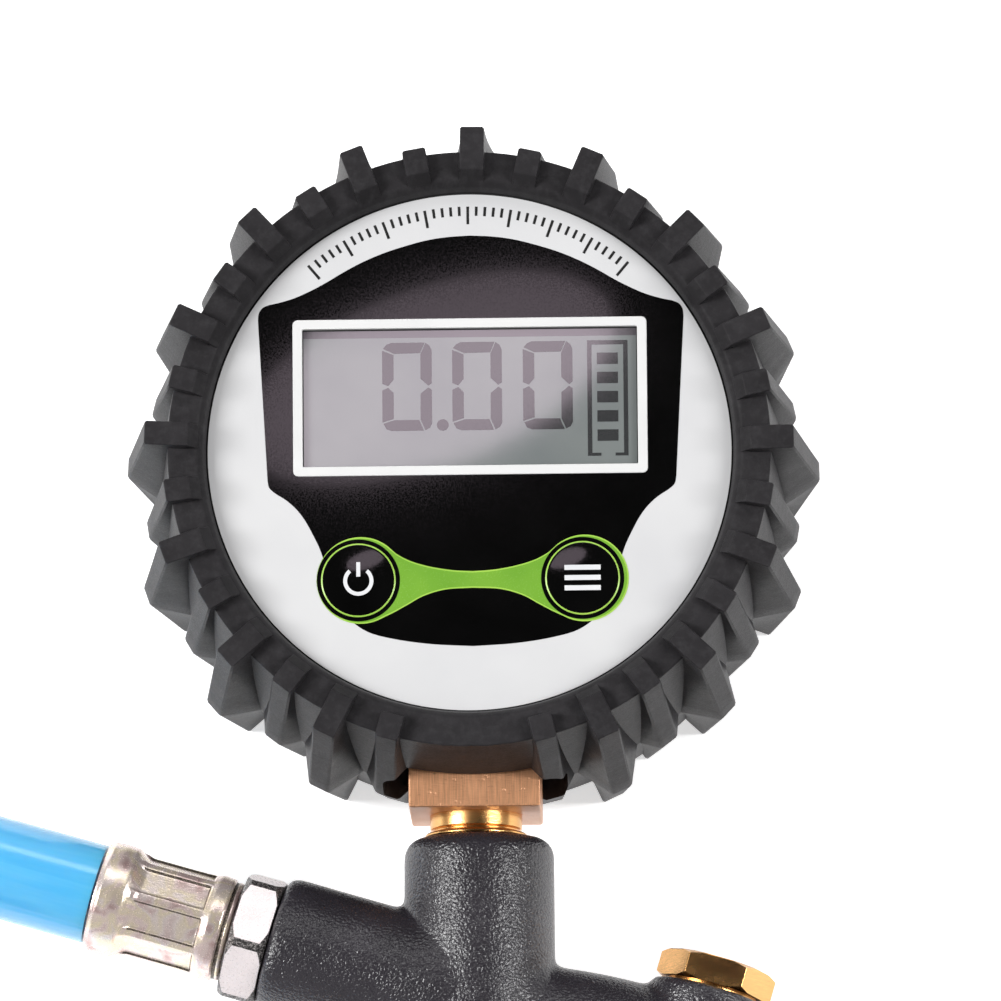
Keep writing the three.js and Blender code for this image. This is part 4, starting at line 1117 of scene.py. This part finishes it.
def gets_painted_shade(x, angle):
    """Whether a face gets painted shade: at a window's sides and end, and in the groove."""
    along, across, _ = window_at(x, angle)
    side = 0.1 < across < 0.9 and 3.4 < x < 11.6
    return side or (0.1 < along < 0.9 and across > 0.5 and x < 5) or 0.45 < x < 0.85


def ferrule():
    bm = bmesh.new()
    angles = [2 * math.pi * k / FERRULE_SIDES for k in range(FERRULE_SIDES)]
    steps = [FERRULE_LENGTH * i / FERRULE_ROWS for i in range(FERRULE_ROWS + 1)]
    end = FERRULE_LENGTH

    def ring(x, radius=ferrule_radius):
        spots = [(radius(x, a), a) for a in angles]
        return [bm.verts.new((r * math.cos(a), r * math.sin(a), FERRULE_START + x)) for r, a in spots]

    def round_ring(x, r):
        return ring(x, lambda *_: r)

    rings = [round_ring(0, FERRULE_BORE)] + [ring(x) for x in steps]
    for x, r in ((end, 6.0), (end - 0.2, 5.95), (end - 3, 5.95), (end - 3, FERRULE_BORE)):
        rings.append(round_ring(x, r))
    rings.append(rings[0])
    skinned(bm, rings)
    bm.faces.ensure_lookup_table()
    for row in range(1, FERRULE_ROWS + 1):
        middle = steps[row - 1] + end / FERRULE_ROWS / 2
        for k, a in enumerate(angles):
            if gets_painted_shade(middle, a + math.pi / FERRULE_SIDES):
                bm.faces[row * FERRULE_SIDES + k].material_index = 1
    return outward(bm)


# The second material paints shade into the windows' sides and ends, and into the groove.
piece("ferrule_skin", along_x(ferrule(), -1), BODY, (ZINC, ZINC_PAINTED_SHADE),
      stands_for=["near_ferrule"], smooth=45, weighted=False)

# ---- chuck
CLIP_X, CLIP_Z = 45, 11.6       # the pin that the chuck's lever turns on


def at_clip(bm):
    return moved(bm, CLIP_X, 0, CLIP_Z)


piece("far_ferrule_skin", along_x(turned([
    (4, 0), (6.6, 0), (6.8, 2.4), (6.1, 4), (6.1, 12), (6.3, 15), (5.9, 15.8), (4, 15.8),
], 0.4)), CHUCK, ZINC, stands_for=["far_ferrule"])
tail = turned([(1.8, 0.5), (3.5, 0.5), (3.5, 16.6), (4.6, 16.6), (4.6, 28.6), (1.8, 28.6)], 0.2, 72)
tail_hex = boolean(hexagon(13, 16.8, 21, 0.7), [cylinder(4.4, 10, 30, 48)])
piece("tail_skin", along_x(merged(tail, tail_hex)), CHUCK, NICKEL, stands_for=["chuck_tail"])


def chuck_body():
    """The barrel with its bore, and two cheeks that hold the lever's pin."""
    barrel = along_x(turned([
        (0, 21.3), (7, 21.3), (7.6, 22), (7.6, 30), (8.4, 32), (8.4, 54.5), (7.4, 56), (0, 56),
    ], 0.5))
    cheeks = [block(41.8, 48.2, y - 1.4, y + 1.4, 5.5, 14.2) for y in (-4.6, 4.6)]
    solid = boolean(barrel, cheeks, "UNION")
    bore = along_x(lathe([
        (0, 20), (4.9, 20), (4.9, 29), (2, 29), (2, 34), (5.6, 34), (5.6, 49.4), (4.4, 50), (4.4, 57),
        (0, 57),
    ], 64))
    slot = block(41.6, 48.4, -3.1, 3.1, 4, 20)
    pin_hole = at_clip(along_y(cylinder(1.3, -12, 12, 32)))
    return bevelled(boolean(solid, [bore, slot, pin_hole]), 0.25, 2, 40)


piece("chuck_skin", chuck_body(), CHUCK, TURNED_BRASS, stands_for=["chuck_body"], smooth=40)
piece("piston_skin", along_x(turned([
    (0, 34.6), (5.2, 34.6), (5.2, 40), (3.4, 40.6), (3.4, 43), (1, 43.4), (1, 47.4), (0, 47.8),
], 0.2, 64)), CHUCK, TURNED_BRASS, "chuck_ram", ["chuck_piston"])
piece("gasket_skin", along_x(turned([(2.6, 45.2), (5.3, 45.2), (5.3, 49), (2.6, 49)], 0.4, 64)),
      CHUCK, SEAL_RUBBER, stands_for=["chuck_gasket"])


def chuck_lever():
    """A bent arm from the pin, wider where the thumb presses."""
    arm = [(0, -2.4)] + arc(0, 0, 2.4, -90, 90, 20)
    arm += bends((-6, 3), ((-16, 2.6), (-27, 5.4))) + bends((-28, 3.6), ((-16, 0.2), (-6, 0.4)))
    plate = extruded(list(dict.fromkeys(arm)), -2.7, 2.7)
    top = bends((-14, 2.95), ((-20, 3.4), (-27, 5.4)))
    under = bends((-28, 3.6), ((-20, 1.2), (-14, 1.0)))
    grip = extruded(top + under, -4.6, 4.6)
    solid = boolean(plate, [grip], "UNION")
    solid = bevelled(boolean(solid, [cylinder(1.3, -12, 12, 32)]), 0.3, 2, 40)
    return at_clip(rotated(solid, 90 * DEG, "X"))


piece("clip_lever_skin", chuck_lever(), CHUCK, STEEL, "chuck_clip", ["chuck_lever"], smooth=40)
clip_pin = turned([(0, -6.4), (1, -6.4), (1, 6.4), (0, 6.4)], 0.25, 32)
piece("clip_pin_skin", at_clip(along_y(clip_pin)), CHUCK, STEEL, stands_for=["chuck_pin"])

# ---- pieces kept from the CAD model
KEPT = (
    (BLACK_PLASTIC, "front_case rear_case battery_tray battery_door power_switch function_switch"),
    (WHITE_PLASTIC, "backlight_panel"),
    (SEAL_RUBBER, "zebra_connector stem_o_ring valve_seat_ring"),
    (BOARD_GREEN, "circuit_board"),
    (CELL_JACKET, "battery_lower battery_upper"),
    (NICKEL, "battery_link_plate battery_plus_plate battery_minus_spring"),
    (STEEL, "pressure_sensor valve_spring battery_door_screw"),
    (STEEL, "case_screw_1 case_screw_2 case_screw_3 case_screw_4"),
    (FLEX_FILM, "sensor_ribbon"),
    (TURNED_BRASS, "inlet_filter"),
)
CASE_EDGE = 0.18 * MM
for look, names in KEPT:
    for node in names.split():
        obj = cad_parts[node]
        obj.data.materials.clear()
        obj.data.materials.append(look)
        for polygon in obj.data.polygons:
            polygon.material_index = 0
for node in ("rear_case", "battery_door", "front_case"):
    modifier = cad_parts[node].modifiers.new("edges", "BEVEL")
    modifier.width = CASE_EDGE
    modifier.segments = 2
    modifier.limit_method = "ANGLE"

# ---- floor and light
FLOOR_HALF, FLOOR_Z = 3.0, -0.0002      # in metres


def floor():
    bm = bmesh.new()
    bmesh.ops.create_grid(bm, x_segments=8, y_segments=8, size=FLOOR_HALF)
    data = mesh_of(bm, "floor")
    obj = shown(bpy.data.objects.new("floor", data))
    look = Look(
        "floor_paper", roughness=0.8, specular=0.1, emission_color=(1, 1, 1), emission_strength=0.6,
    )
    look.colour(look.noise(40), 0.93, 0.95)
    data.materials.append(look.material)
    obj.location.z = FLOOR_Z


def area_light(name, place, aim, size, radiance, colour=(1, 1, 1), shape="RECTANGLE", roll=0.0):
    """A soft light at a place in the gauge's frame, in millimetres, that faces aim."""
    data = bpy.data.lights.new(name, "AREA")
    data.shape = shape
    data.size, data.size_y = size[0] * MM, size[1] * MM
    area = data.size * data.size_y * (math.pi / 4 if shape == "ELLIPSE" else 1)
    data.energy = radiance * math.pi * area
    data.color = colour
    obj = shown(bpy.data.objects.new(name, data))
    at, to = TOOL @ Vector(place), TOOL @ Vector(aim)
    facing = (at - to).to_track_quat("Z", "Y").to_matrix().to_4x4()
    obj.matrix_world = Matrix.Translation(at) @ facing @ Matrix.Rotation(roll, 4, "Z")


WORLD_STRENGTH = 0.34


def world_light():
    """White round the sides, darker overhead, so that upward gloss stays deep."""
    world = bpy.data.worlds.new("studio")
    world.use_nodes = True
    nodes, links = world.node_tree.nodes, world.node_tree.links
    background = nodes["Background"]
    coordinate = nodes.new("ShaderNodeTexCoord")
    split = nodes.new("ShaderNodeSeparateXYZ")
    ramp = nodes.new("ShaderNodeValToRGB")
    links.new(coordinate.outputs["Generated"], split.inputs[0])
    links.new(split.outputs["Z"], ramp.inputs[0])
    links.new(ramp.outputs[0], background.inputs["Color"])
    sides, overhead = ramp.color_ramp.elements
    sides.position, sides.color = 0.78, (1, 1, 1, 1)
    overhead.position, overhead.color = 0.92, (0.03, 0.03, 0.03, 1)
    background.inputs["Strength"].default_value = WORLD_STRENGTH
    bpy.context.scene.world = world


floor()
world_light()
area_light("reflection_card", (-20, 121, 644), (-5, 11, DIAL_Z), (64, 29), 2.2, (1.0, 0.82, 0.95),
           "ELLIPSE", 12 * DEG)
area_light("key_left", (-850, 0, 800), (0, -60, 20), (300, 520), 21.5)
area_light("key_right", (830, -60, 800), (0, -60, 20), (140, 520), 28.0)
area_light("key_back", (0, 800, 880), (0, -40, 20), (900, 260), 3.0)
bpy.context.scene.view_settings.view_transform = "Standard"
